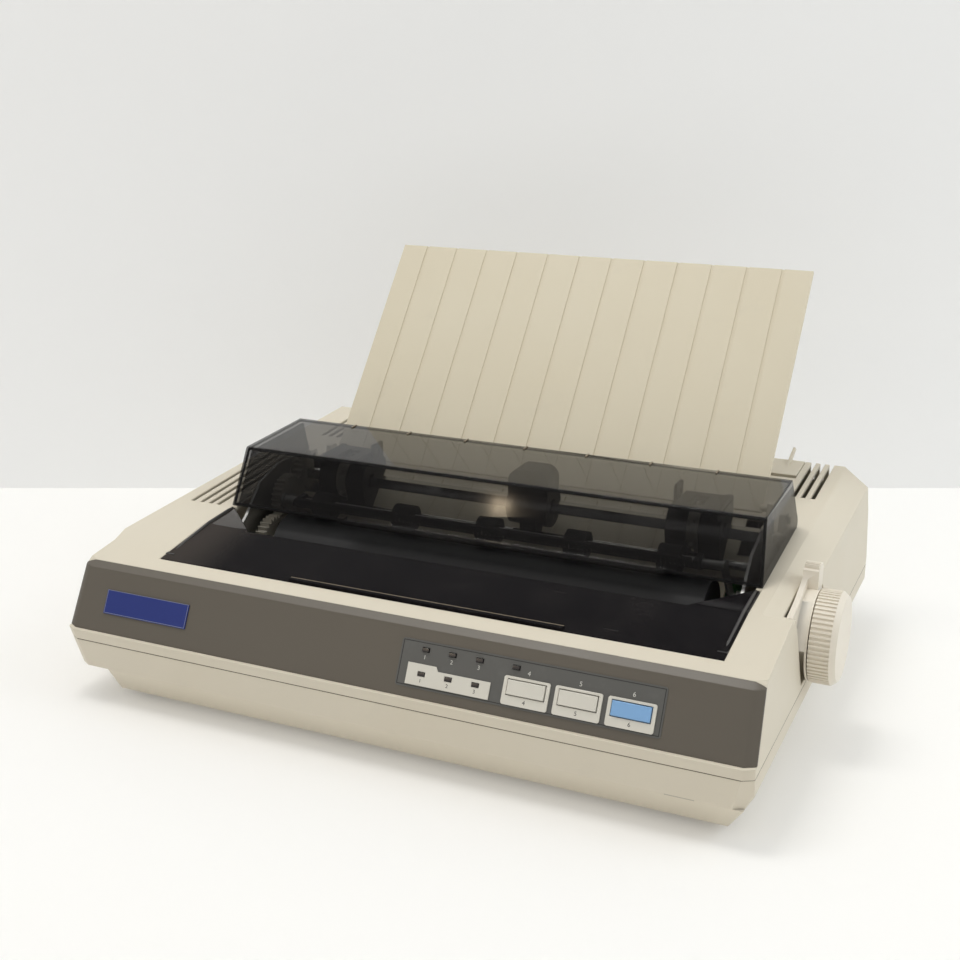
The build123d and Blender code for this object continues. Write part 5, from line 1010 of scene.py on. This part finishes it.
@dataclass
class LidTrim:
    """The lid's raised rims beside its edges, painted lighter grey for their sheen, its corner clips and the
    mark where its ears bend up.

    A rim's ring is a flattened circle, and its path follows the lid's upper face through the (Y, Z) of its
    front, bend and tip, in even steps. The grip's thin lighter line has its X from and to, its Y and its Z.
    """

    half: float = 154.4 * MM
    front: Place = (-104.5 * MM, 74.75 * MM)
    bend: Place = (-72.5 * MM, 80.35 * MM)
    tip: Place = (-48.5 * MM, 82.1 * MM)
    steps: tuple[int, int] = (8, 5)
    width: float = 1.5 * MM
    taper: float = 0.6
    flat: float = 0.55
    clip_in: Point = (0.2 * MM, 4.5 * MM, 0.6 * MM)
    clip: Point = (2.6 * MM, 1.3 * MM, 0.9 * MM)
    ear: Place = (129.0 * MM, 152.6 * MM)
    crease: Place = (0.22 * MM, 0.05 * MM)
    crease_lift: float = 0.02 * MM
    grip: tuple[float, float, float, float] = (-74.2 * MM, 78.1 * MM, -113.4 * MM, 75.58 * MM)
    grip_line: Place = (0.3 * MM, 0.05 * MM)

    def rim(self, x: float) -> Mesh:
        """One rim along the lid at a given X."""
        front, bend, tip = np.array(self.front), np.array(self.bend), np.array(self.tip)
        first, second = self.steps
        rows = [front + (bend - front) * k / first for k in range(first + 1)]
        rows += [bend + (tip - bend) * k / second for k in range(1, second + 1)]
        radius = np.full(len(rows), self.width)
        radius[[0, -1]] *= self.taper
        return grid_mesh("rim", rod_grid(np.array([(x, *row) for row in rows]), radius, 16, self.flat))

    def build(self, paint: Paint) -> Pieces:
        """Makes the rims, the clips, the creases and the thin tan line along the grip."""
        mesh = joined("lid_rims", [self.rim(COVER_X + way * self.half) for way in SIDES])
        # the rims are painted lighter grey than the smoked lid to stand for the sheen on them: painted
        # highlight
        yield new_piece("lid_rims", mesh, paint["rim_painted_sheen"], "cover_plastic", "lid", 50.0)
        aside, before, below = self.clip_in
        clips = [(COVER_X + way * (self.half - aside), self.front[0] - before, self.front[1] - below)
                 for way in SIDES]
        near, far = self.ear
        folds = [(COVER_X + way * (near + far) / 2, self.bend[0], self.bend[1] + self.crease_lift)
                 for way in SIDES]
        left, right, y, z = self.grip
        line = [((left + right) / 2, y, z)]
        for name, centres, halves, finish in (
                ("lid_clips", clips, self.clip, "black_plastic"),
                ("lid_creases", folds, ((far - near) / 2, *self.crease), "edge_smoke"),
                ("lid_lip_line", line, ((right - left) / 2, *self.grip_line), "tick_tan")):
            mesh = bars_mesh(name, np.array(centres), halves)
            yield new_piece(name, mesh, paint[finish], "cover_plastic", "lid")


@dataclass
class CaseMarks:
    """A short bar in painted shade for the notch on the chin's lower edge, and a rod in painted shade sunk in
    the seam between the shells.
    """

    chin: Point = (148.0 * MM, -148.74 * MM, 19.15 * MM)
    notch: Point = (7.0 * MM, 0.22 * MM, 0.32 * MM)
    seam_z: float = 34.0 * MM
    seam: float = 0.25 * MM
    sunk: float = 0.27 * MM
    rim_near: float = 0.3 * MM
    rear_near: float = 1.0 * MM
    least_step: float = 0.8 * MM

    def seam_path(self) -> np.ndarray:
        """The seam's course from the back along one side, the front and the other side.

        It is the hull of the lower case's rim, opened at the back and drawn in to the bottom of the groove.

        Returns:
            The course's points in metres.
        """
        shell = frame["nodes"]["lower_case"].data
        points = np.empty(len(shell.vertices) * 3)
        shell.vertices.foreach_get("co", points)
        points = points.reshape(-1, 3)
        rim = points[np.abs(points[:, 2] - self.seam_z) < self.rim_near][:, :2]
        ring = rim[convex_hull_2d([Vector(p) for p in rim.tolist()])]
        ring = ring[np.linalg.norm(np.roll(ring, -1, axis=0) - ring, axis=1) > self.least_step]
        behind = ring[:, 1] > ring[:, 1].max() - self.rear_near
        start = int(np.argmax(np.roll(behind, 1) & ~behind))
        path = np.roll(ring, 1 - start, axis=0)[:int(np.sum(~behind)) + 2]
        path -= self.sunk * np.sign(path - ring.mean(axis=0))
        return np.concatenate([path, np.full((len(path), 1), self.seam_z)], 1)

    def build(self, paint: Paint) -> Pieces:
        """Makes the painted shade in the seam and the painted shade of the notch."""
        # a dark rod sunk in the seam stands for the shade in its groove: painted shade
        seam_shade_rod = grid_mesh("seam_painted_shade", rod_grid(self.seam_path(), self.seam, 8))
        yield new_piece("seam_painted_shade", seam_shade_rod, paint["seam_painted_shade"], "case_plastic", "case")
        # a darker bar stands for the shade in the chin's notch: painted shade
        mesh = bars_mesh("chin_notch_shade", np.array([self.chin]), self.notch)
        yield new_piece("chin_notch_shade", mesh, paint["case_shade"], "case_plastic", "case")


@dataclass
class Fasteners:
    """Pan-head screws with a cross recess on the side plates' feet, the tray's front and the motors.

    A head's height over its seat is h * (1 - (r / R) ^ 4), less the recess where the point lies in a cross.
    """

    radius: float = 2.9 * MM
    height: float = 1.7 * MM
    recess: float = 1.1 * MM
    slot: float = 0.42 * MM
    reach: float = 1.7 * MM
    root: float = 0.05 * MM
    rings: int = 14
    sides: int = 40
    plate: float = 1.6 * MM
    edge: float = 6.0 * MM
    side_places: Sequence[float] = (-52.0 * MM, 0.0, 46.0 * MM)
    front_places: Sequence[float] = (-100.0 * MM, 0.0, 100.0 * MM)
    feed_half: float = 21.0 * MM
    drive_half: float = 12.5 * MM

    def head(self, place: Point, normal: Point) -> Mesh:
        """One screw head on a seat.

        Args:
            place: The middle of the seat in metres.
            normal: The direction that the head points in.

        Returns:
            The head's mesh.
        """
        reach = np.linspace(0.02, 1.0, self.rings)[:, None] * self.radius
        turn = np.linspace(0.0, 2.0 * math.pi, self.sides, endpoint=False)
        x, y = reach * np.cos(turn), reach * np.sin(turn)
        wide, deep = np.abs(x), np.abs(y)
        cross = ((wide < self.slot) & (deep < self.reach)) | ((deep < self.slot) & (wide < self.reach))
        z = self.height * (1.0 - (reach / self.radius) ** 4) - self.recess * cross
        grid = np.stack([x, y, np.maximum(z, 0.0)], -1)
        mesh = grid_mesh("head", np.concatenate([grid, grid[-1:] * (1, 1, 0) - (0, 0, self.root)]))
        turned = Vector((0, 0, 1)).rotation_difference(Vector(normal)).to_matrix().to_4x4()
        mesh.transform(Matrix.Translation(place) @ turned)
        return mesh

    def seats(self) -> Iterable[tuple[Point, Point]]:
        """The middle and the direction of every head's seat."""
        left, right = Span.of("left_side_frame"), Span.of("right_side_frame")
        for x in (left.low.x + self.edge, right.high.x - self.edge):
            for y in self.side_places:
                yield (x, y, left.low.z + self.plate), (0, 0, 1)
        tray = Span.of("base_frame")
        for x in self.front_places:
            yield (x, tray.low.y + self.edge, tray.high.z), (0, 0, 1)
        feed, drive = Span.of("line_feed_motor"), Span.of("carriage_motor")
        for way in SIDES:
            yield (feed.high.x + self.plate, feed.middle.y + way * self.feed_half, feed.middle.z), (1, 0, 0)
        for way in SIDES:
            yield (drive.middle.x + way * self.drive_half, drive.middle.y, drive.high.z), (0, 0, 1)

    def build(self, paint: Paint) -> Pieces:
        """Makes every head as one mesh."""
        mesh = joined("screw_heads", [self.head(place, normal) for place, normal in self.seats()])
        yield new_piece("screw_heads", mesh, paint["steel"], "steel", "case", 35.0)


@dataclass
class DriveBelt:
    """The teeth inside the carriage belt's straight runs, at the belt's pitch and clear of the pulleys."""

    pitch: float = 2.032 * MM
    tooth: Point = (0.5 * MM, 0.35 * MM, 2.4 * MM)
    wall: float = 1.25 * MM
    clear: float = 9.5 * MM

    def build(self, paint: Paint) -> Pieces:
        """Makes the teeth of both runs as one mesh."""
        belt, first, last = Span.of("carriage_belt"), Span.of("drive_pulley"), Span.of("belt_idler_pulley")
        places = np.arange(first.middle.x + self.clear, last.middle.x - self.clear, self.pitch)
        deep = self.wall + self.tooth[1]
        runs = [along_x(places, y, belt.middle.z) for y in (belt.low.y + deep, belt.high.y - deep)]
        mesh = bars_mesh("belt_teeth", np.concatenate(runs), self.tooth)
        yield new_piece("belt_teeth", mesh, paint["belt_rubber"], "belt_rubber", "case")


@dataclass
class BailScale:
    """The paper scale's white ticks, ten to an inch, with longer ones at each fifth and tenth.

    The ticks stand on a face that leans forward. Its foot is given from the scale's front and from its top.
    """

    pitch: float = 2.54 * MM
    count: int = 91
    heights: Point = (1.0 * MM, 1.6 * MM, 2.3 * MM)
    lean: Point = (0.0, -0.8, 5.0)
    foot: Place = (0.78 * MM, 5.6 * MM)
    margin: float = 0.2 * MM
    proud: float = 0.02 * MM
    half_width: float = 0.11 * MM
    half_depth: float = 0.04 * MM

    def build(self, paint: Paint) -> Pieces:
        """Makes the ticks on the scale's sloping front face."""
        scale = Span.of("bail_scale")
        slope = Vector(self.lean).normalized()
        out = Vector((0.0, -slope.z, slope.y))
        face = Vector((scale.middle.x, scale.low.y + self.foot[0], scale.high.z - self.foot[1]))
        index = np.arange(self.count) - (self.count - 1) // 2
        rank = np.where(index % 10 == 0, 2, np.where(index % 5 == 0, 1, 0))
        parts = []
        for kind, height in enumerate(self.heights):
            middle = face + slope * (self.margin + height / 2) + out * self.proud
            centres = along_x(middle.x + index[rank == kind] * self.pitch, middle.y, middle.z)
            parts.append(bars_mesh("ticks", centres, (self.half_width, height / 2, self.half_depth),
                                   ((1, 0, 0), tuple(slope), tuple(out))))
        mesh = joined("scale_ticks", parts)
        yield new_piece("scale_ticks", mesh, paint["label_white"], "black_plastic", "bail")


@dataclass
class BailSprings:
    """The small torsion springs that press the bail on the platen: a helix round each arm's stud, with a leg.

    A point of the helix is centre + (x, R * cos(t), R * sin(t)), with x growing evenly with the turn t.
    """

    stud: Place = (-7.5 * MM, 60.0 * MM)
    coil: float = 3.3 * MM
    wire: float = 0.42 * MM
    turns: float = 5.0
    steps: int = 20
    away: float = 2.0 * MM
    length: float = 7.5 * MM
    leg: float = 11.0 * MM

    def build(self, paint: Paint) -> Pieces:
        """Makes both springs as one mesh."""
        arms = Span.of("bail_arms")
        turn = np.linspace(0.0, 2.0 * math.pi * self.turns, int(self.turns * self.steps) + 1)
        y, z = self.stud[0] + self.coil * np.cos(turn), self.stud[1] + self.coil * np.sin(turn)
        parts = []
        for way, x in zip(SIDES, (arms.low.x, arms.high.x)):
            helix = np.stack([x + way * (self.away + turn / turn[-1] * self.length), y, z], 1)
            share = np.linspace(1.0, 0.0, 6)[:-1, None]
            leg = helix[:1] + share * np.array([[0.0, 0.0, -self.leg]])
            parts.append(grid_mesh("spring", rod_grid(np.concatenate([leg, helix]), self.wire, 8)))
        mesh = joined("bail_springs", parts)
        yield new_piece("bail_springs", mesh, paint["polished_steel"], "steel", "case", 60.0)


@dataclass
class RearFittings:
    """The interface's gilt contacts and wire clips, at the back.

    The contacts lie deep in from the port's back, a row above and below its middle. A clip's post stands
    aside of the middle and inside the back. The bow is half of a clip's course in millimetres, outwards,
    backwards and up, and the other half mirrors it.
    """

    contacts: int = 18
    pitch: float = 2.16 * MM
    contact: Point = (0.5 * MM, 2.6 * MM, 0.14 * MM)
    deep: float = 4.4 * MM
    row: float = 1.62 * MM
    post: float = 31.0 * MM
    inside: float = 3.6 * MM
    wire: float = 0.65 * MM
    bow: Sequence[Point] = ((0.0, -1.0, -6.6), (0.0, 0.8, -6.6), (-0.4, 2.2, -6.0), (-0.6, 2.6, -3.0),
                            (-0.6, 2.7, 0.0))

    def build(self, paint: Paint) -> Pieces:
        """Makes the contacts and the clips."""
        port = Span.of("interface_connector")
        x = spread(self.contacts, self.pitch) + port.middle.x
        rows = [along_x(x, port.high.y - self.deep, port.middle.z + way * self.row) for way in SIDES]
        mesh = bars_mesh("port_contacts", np.concatenate(rows), self.contact)
        yield new_piece("port_contacts", mesh, paint["contact_gold"], "steel", "case")
        course = np.array((*self.bow, *((out, back, -up) for out, back, up in self.bow[-2::-1]))) * MM
        clips = []
        for way in SIDES:
            start = (port.middle.x + way * self.post, port.high.y - self.inside, port.middle.z)
            clips.append(grid_mesh("clip", rod_grid(start + course * (way, 1, 1), self.wire, 10)))
        mesh = joined("port_clips", clips)
        yield new_piece("port_clips", mesh, paint["polished_steel"], "steel", "case", 60.0)


@dataclass
class Mechanism:
    """The print mechanism's solids, with rounded edges or only smoothed."""

    widths: Sequence[tuple[str, float]] = (
        ("platen_roller", 0.0), ("bail_rollers", 0.0), ("bail_scale", 0.2 * MM), ("bail_arms", 0.15 * MM),
        ("left_tractor_frame", 0.3 * MM), ("right_tractor_frame", 0.3 * MM), ("left_tractor_wheel", 0.0),
        ("right_tractor_wheel", 0.0), ("center_support", 0.4 * MM), ("left_tractor_door", 0.25 * MM),
        ("right_tractor_door", 0.25 * MM), ("tractor_rail", 0.0), ("carriage_rod", 0.0),
        ("platen_shaft", 0.0), ("print_head", 0.15 * MM), ("ribbon_cartridge", 0.4 * MM),
        ("left_side_frame", 0.0), ("right_side_frame", 0.0), ("paper_chute", 0.2 * MM))

    def build(self, paint: Paint) -> Pieces:
        """Makes each solid in turn."""
        for node, width in self.widths:
            yield Softened(node, width).build(paint)


@dataclass(frozen=True)
class FigureRow:
    """Three plain printed figures: their places and height in millimetres, their lift in metres."""

    name: str
    first: int
    middle: float
    pitch: float
    up: float
    height: float
    lift: float
    ink: str
    slot: str


@dataclass
class ControlPanel:
    """The sloping panel's plain printed figures, outlines and soft-edged keys, and a painted highlight round
    the badge's edge.

    A place on the panel is (x, up): X, and the distance up the slope from the panel's foot. The point is
    foot + x * X + up * slope, and it is lifted along the outward normal, which is square to the slope.
    """

    foot: Point = (-7.8 * MM, -147.6 * MM, 39.5 * MM)
    slope: Point = (0.0, 0.4484, 0.8938)
    outward: Point = (0.0, -0.8938, 0.4484)
    film: float = 0.30 * MM
    ink: float = 0.05 * MM
    relief: float = 0.03 * MM
    digit: float = 0.7
    border: tuple[Place, Place] = ((11.5, 5.8), (144.2, 27.5))
    border_width: float = 0.35
    badge_lift: float = 0.68 * MM
    badge_in: float = 0.35
    badge_width: float = 0.3
    widths: Sequence[tuple[str, float]] = (
        ("key_left", 0.35 * MM), ("key_middle", 0.35 * MM), ("key_right", 0.35 * MM),
        ("key_surrounds", 0.2 * MM), ("led_plate", 0.15 * MM), ("badge_plate", 0.2 * MM),
        ("control_plate", 0.1 * MM), ("status_leds", 0.2 * MM))
    rows: Sequence[FigureRow] = (
        FigureRow("lamp_figure", 1, 38.3, 14.3, 20.4, 2.0, 0.3 * MM, "label_white", "white_plastic"),
        FigureRow("plate_figure", 1, 38.3, 14.3, 8.9, 1.8, 0.9 * MM, "black_plastic", "black_plastic"),
        FigureRow("key_figure", 4, 104.1, 25.8, 22.2, 2.2, 0.3 * MM, "label_white", "white_plastic"),
        FigureRow("surround_figure", 4, 104.1, 25.8, 8.4, 2.0, 1.1 * MM, "black_plastic", "black_plastic"))

    def seat(self, x: float, up: float, lift: float) -> Matrix:
        """The placing matrix of a flat piece drawn in XY.

        Args:
            x: X in millimetres.
            up: Distance up the slope in millimetres.
            lift: Height over the panel's face in metres.

        Returns:
            The matrix.
        """
        slope, out = Vector(self.slope), Vector(self.outward)
        place = Vector(self.foot) + Vector((x * MM, 0.0, 0.0)) + slope * (up * MM) + out * lift
        return Matrix.Translation(place) @ Matrix((Vector((1, 0, 0)), slope, out)).transposed().to_4x4()

    def place_of(self, corner: Vector, shift: float) -> Place:
        """The place on the panel of a point in metres, moved by a shift in millimetres both ways."""
        x, up = corner.x - self.foot[0], (corner.z - self.foot[2]) / self.slope[2]
        return x / MM + shift, up / MM + shift

    def figure(self, row: FigureRow, step: int, paint: Paint) -> Object:
        """One plain printed figure.

        Args:
            row: The row that it stands in.
            step: Its place in the row, from 0.
            paint: Materials by slot.

        Returns:
            The piece.
        """
        name = f"{row.name}_{step + 1}"
        curve = bpy.data.curves.new(name, "FONT")
        curve.body = str(row.first + step)
        curve.size = row.height * MM / self.digit
        curve.align_x, curve.align_y = "CENTER", "CENTER"
        curve.extrude = self.relief
        holder = placed(name, curve)
        mesh = bpy.data.meshes.new_from_object(holder)
        bpy.data.objects.remove(holder)
        mesh.transform(self.seat(row.middle + row.pitch * (step - 1), row.up, row.lift))
        return new_piece(name, mesh, paint[row.ink], row.slot, "case")

    def outline(self, name: str, low: Place, high: Place, width: float, lift: float) -> Mesh:
        """A thin printed rectangle: two rings of four corners, joined by quads, with a little thickness.

        Args:
            name: The mesh's name.
            low: Lower left place in millimetres.
            high: Upper right place in millimetres.
            width: The line's width in millimetres.
            lift: Height over the panel's face in metres.

        Returns:
            The mesh.
        """
        rings = []
        for inset in (0.0, width):
            left, foot, right, top = low[0] + inset, low[1] + inset, high[0] - inset, high[1] - inset
            rings.append([(left, foot), (right, foot), (right, top), (left, top)])
        points = np.array([(x * MM, up * MM, z) for z in (0.0, self.ink) for ring in rings for x, up in ring])
        faces = []
        for k in range(4):
            n = (k + 1) % 4
            faces += [(8 + k, 8 + n, 12 + n, 12 + k), (k, 4 + k, 4 + n, n), (k, n, 8 + n, 8 + k),
                      (4 + k, 12 + k, 12 + n, 4 + n)]
        mesh = mesh_of(name, points, faces)
        mesh.transform(self.seat(0.0, 0.0, lift))
        return mesh

    def build(self, paint: Paint) -> Pieces:
        """Makes the panel's solids, outlines and figures in turn."""
        for node, width in self.widths:
            yield Softened(node, width).build(paint)
        mesh = self.outline("control_outline", *self.border, self.border_width, self.film)
        yield new_piece("control_outline", mesh, paint["black_plastic"], "dark_label", "case")
        # a thin lighter blue outline just inside the badge's edge: painted highlight
        badge = Span.of("badge_plate")
        low, high = self.place_of(badge.low, self.badge_in), self.place_of(badge.high, -self.badge_in)
        mesh = self.outline("badge_edge_highlight", low, high, self.badge_width, self.badge_lift)
        yield new_piece("badge_edge_highlight", mesh, paint["badge_edge_highlight"], "badge_blue", "case")
        for step in range(3):
            for row in self.rows:
                yield self.figure(row, step, paint)


@dataclass
class HoodMarks:
    """The short tan marks along the hood's rear top edge."""

    count: int = 7
    pitch: float = 37.8 * MM
    middle: Place = (24.4 * MM, 117.86 * MM)
    halves: Point = (0.45 * MM, 2.7 * MM, 0.51 * MM)

    def build(self, paint: Paint) -> Pieces:
        """Makes all the marks as one mesh."""
        places = along_x(COVER_X + spread(self.count, self.pitch), *self.middle)
        mesh = bars_mesh("hood_marks", places, self.halves)
        yield new_piece("hood_marks", mesh, paint["tick_tan"], "smoked_plastic", "hood_cover")


def paint_nodes(paint: Paint) -> None:
    """Gives every carried-over CAD node its slot's finish.

    Args:
        paint: Materials by slot.
    """
    for name, node in frame["nodes"].items():
        node.data.materials.clear()
        node.data.materials.append(paint[slot_of(name)])


def main() -> None:
    """Builds the room, the finishes and each sub-assembly, and notes the sizes."""
    logging.basicConfig(level=logging.INFO, format="%(name)s: %(message)s")
    Room().build()
    paint = finishes()
    paint_nodes(paint)
    for assembly in (Casework(), HoodEdges(), LidTrim(), CaseMarks(), Mechanism(), Fasteners(), DriveBelt(),
                     BailScale(), BailSprings(), RearFittings(), ControlPanel(), HoodMarks()):
        for made in assembly.build(paint):
            LOG.info("%s on %s, %d faces", made.name, made["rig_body"], len(made.data.polygons))


if __name__ == "__main__":
    main()
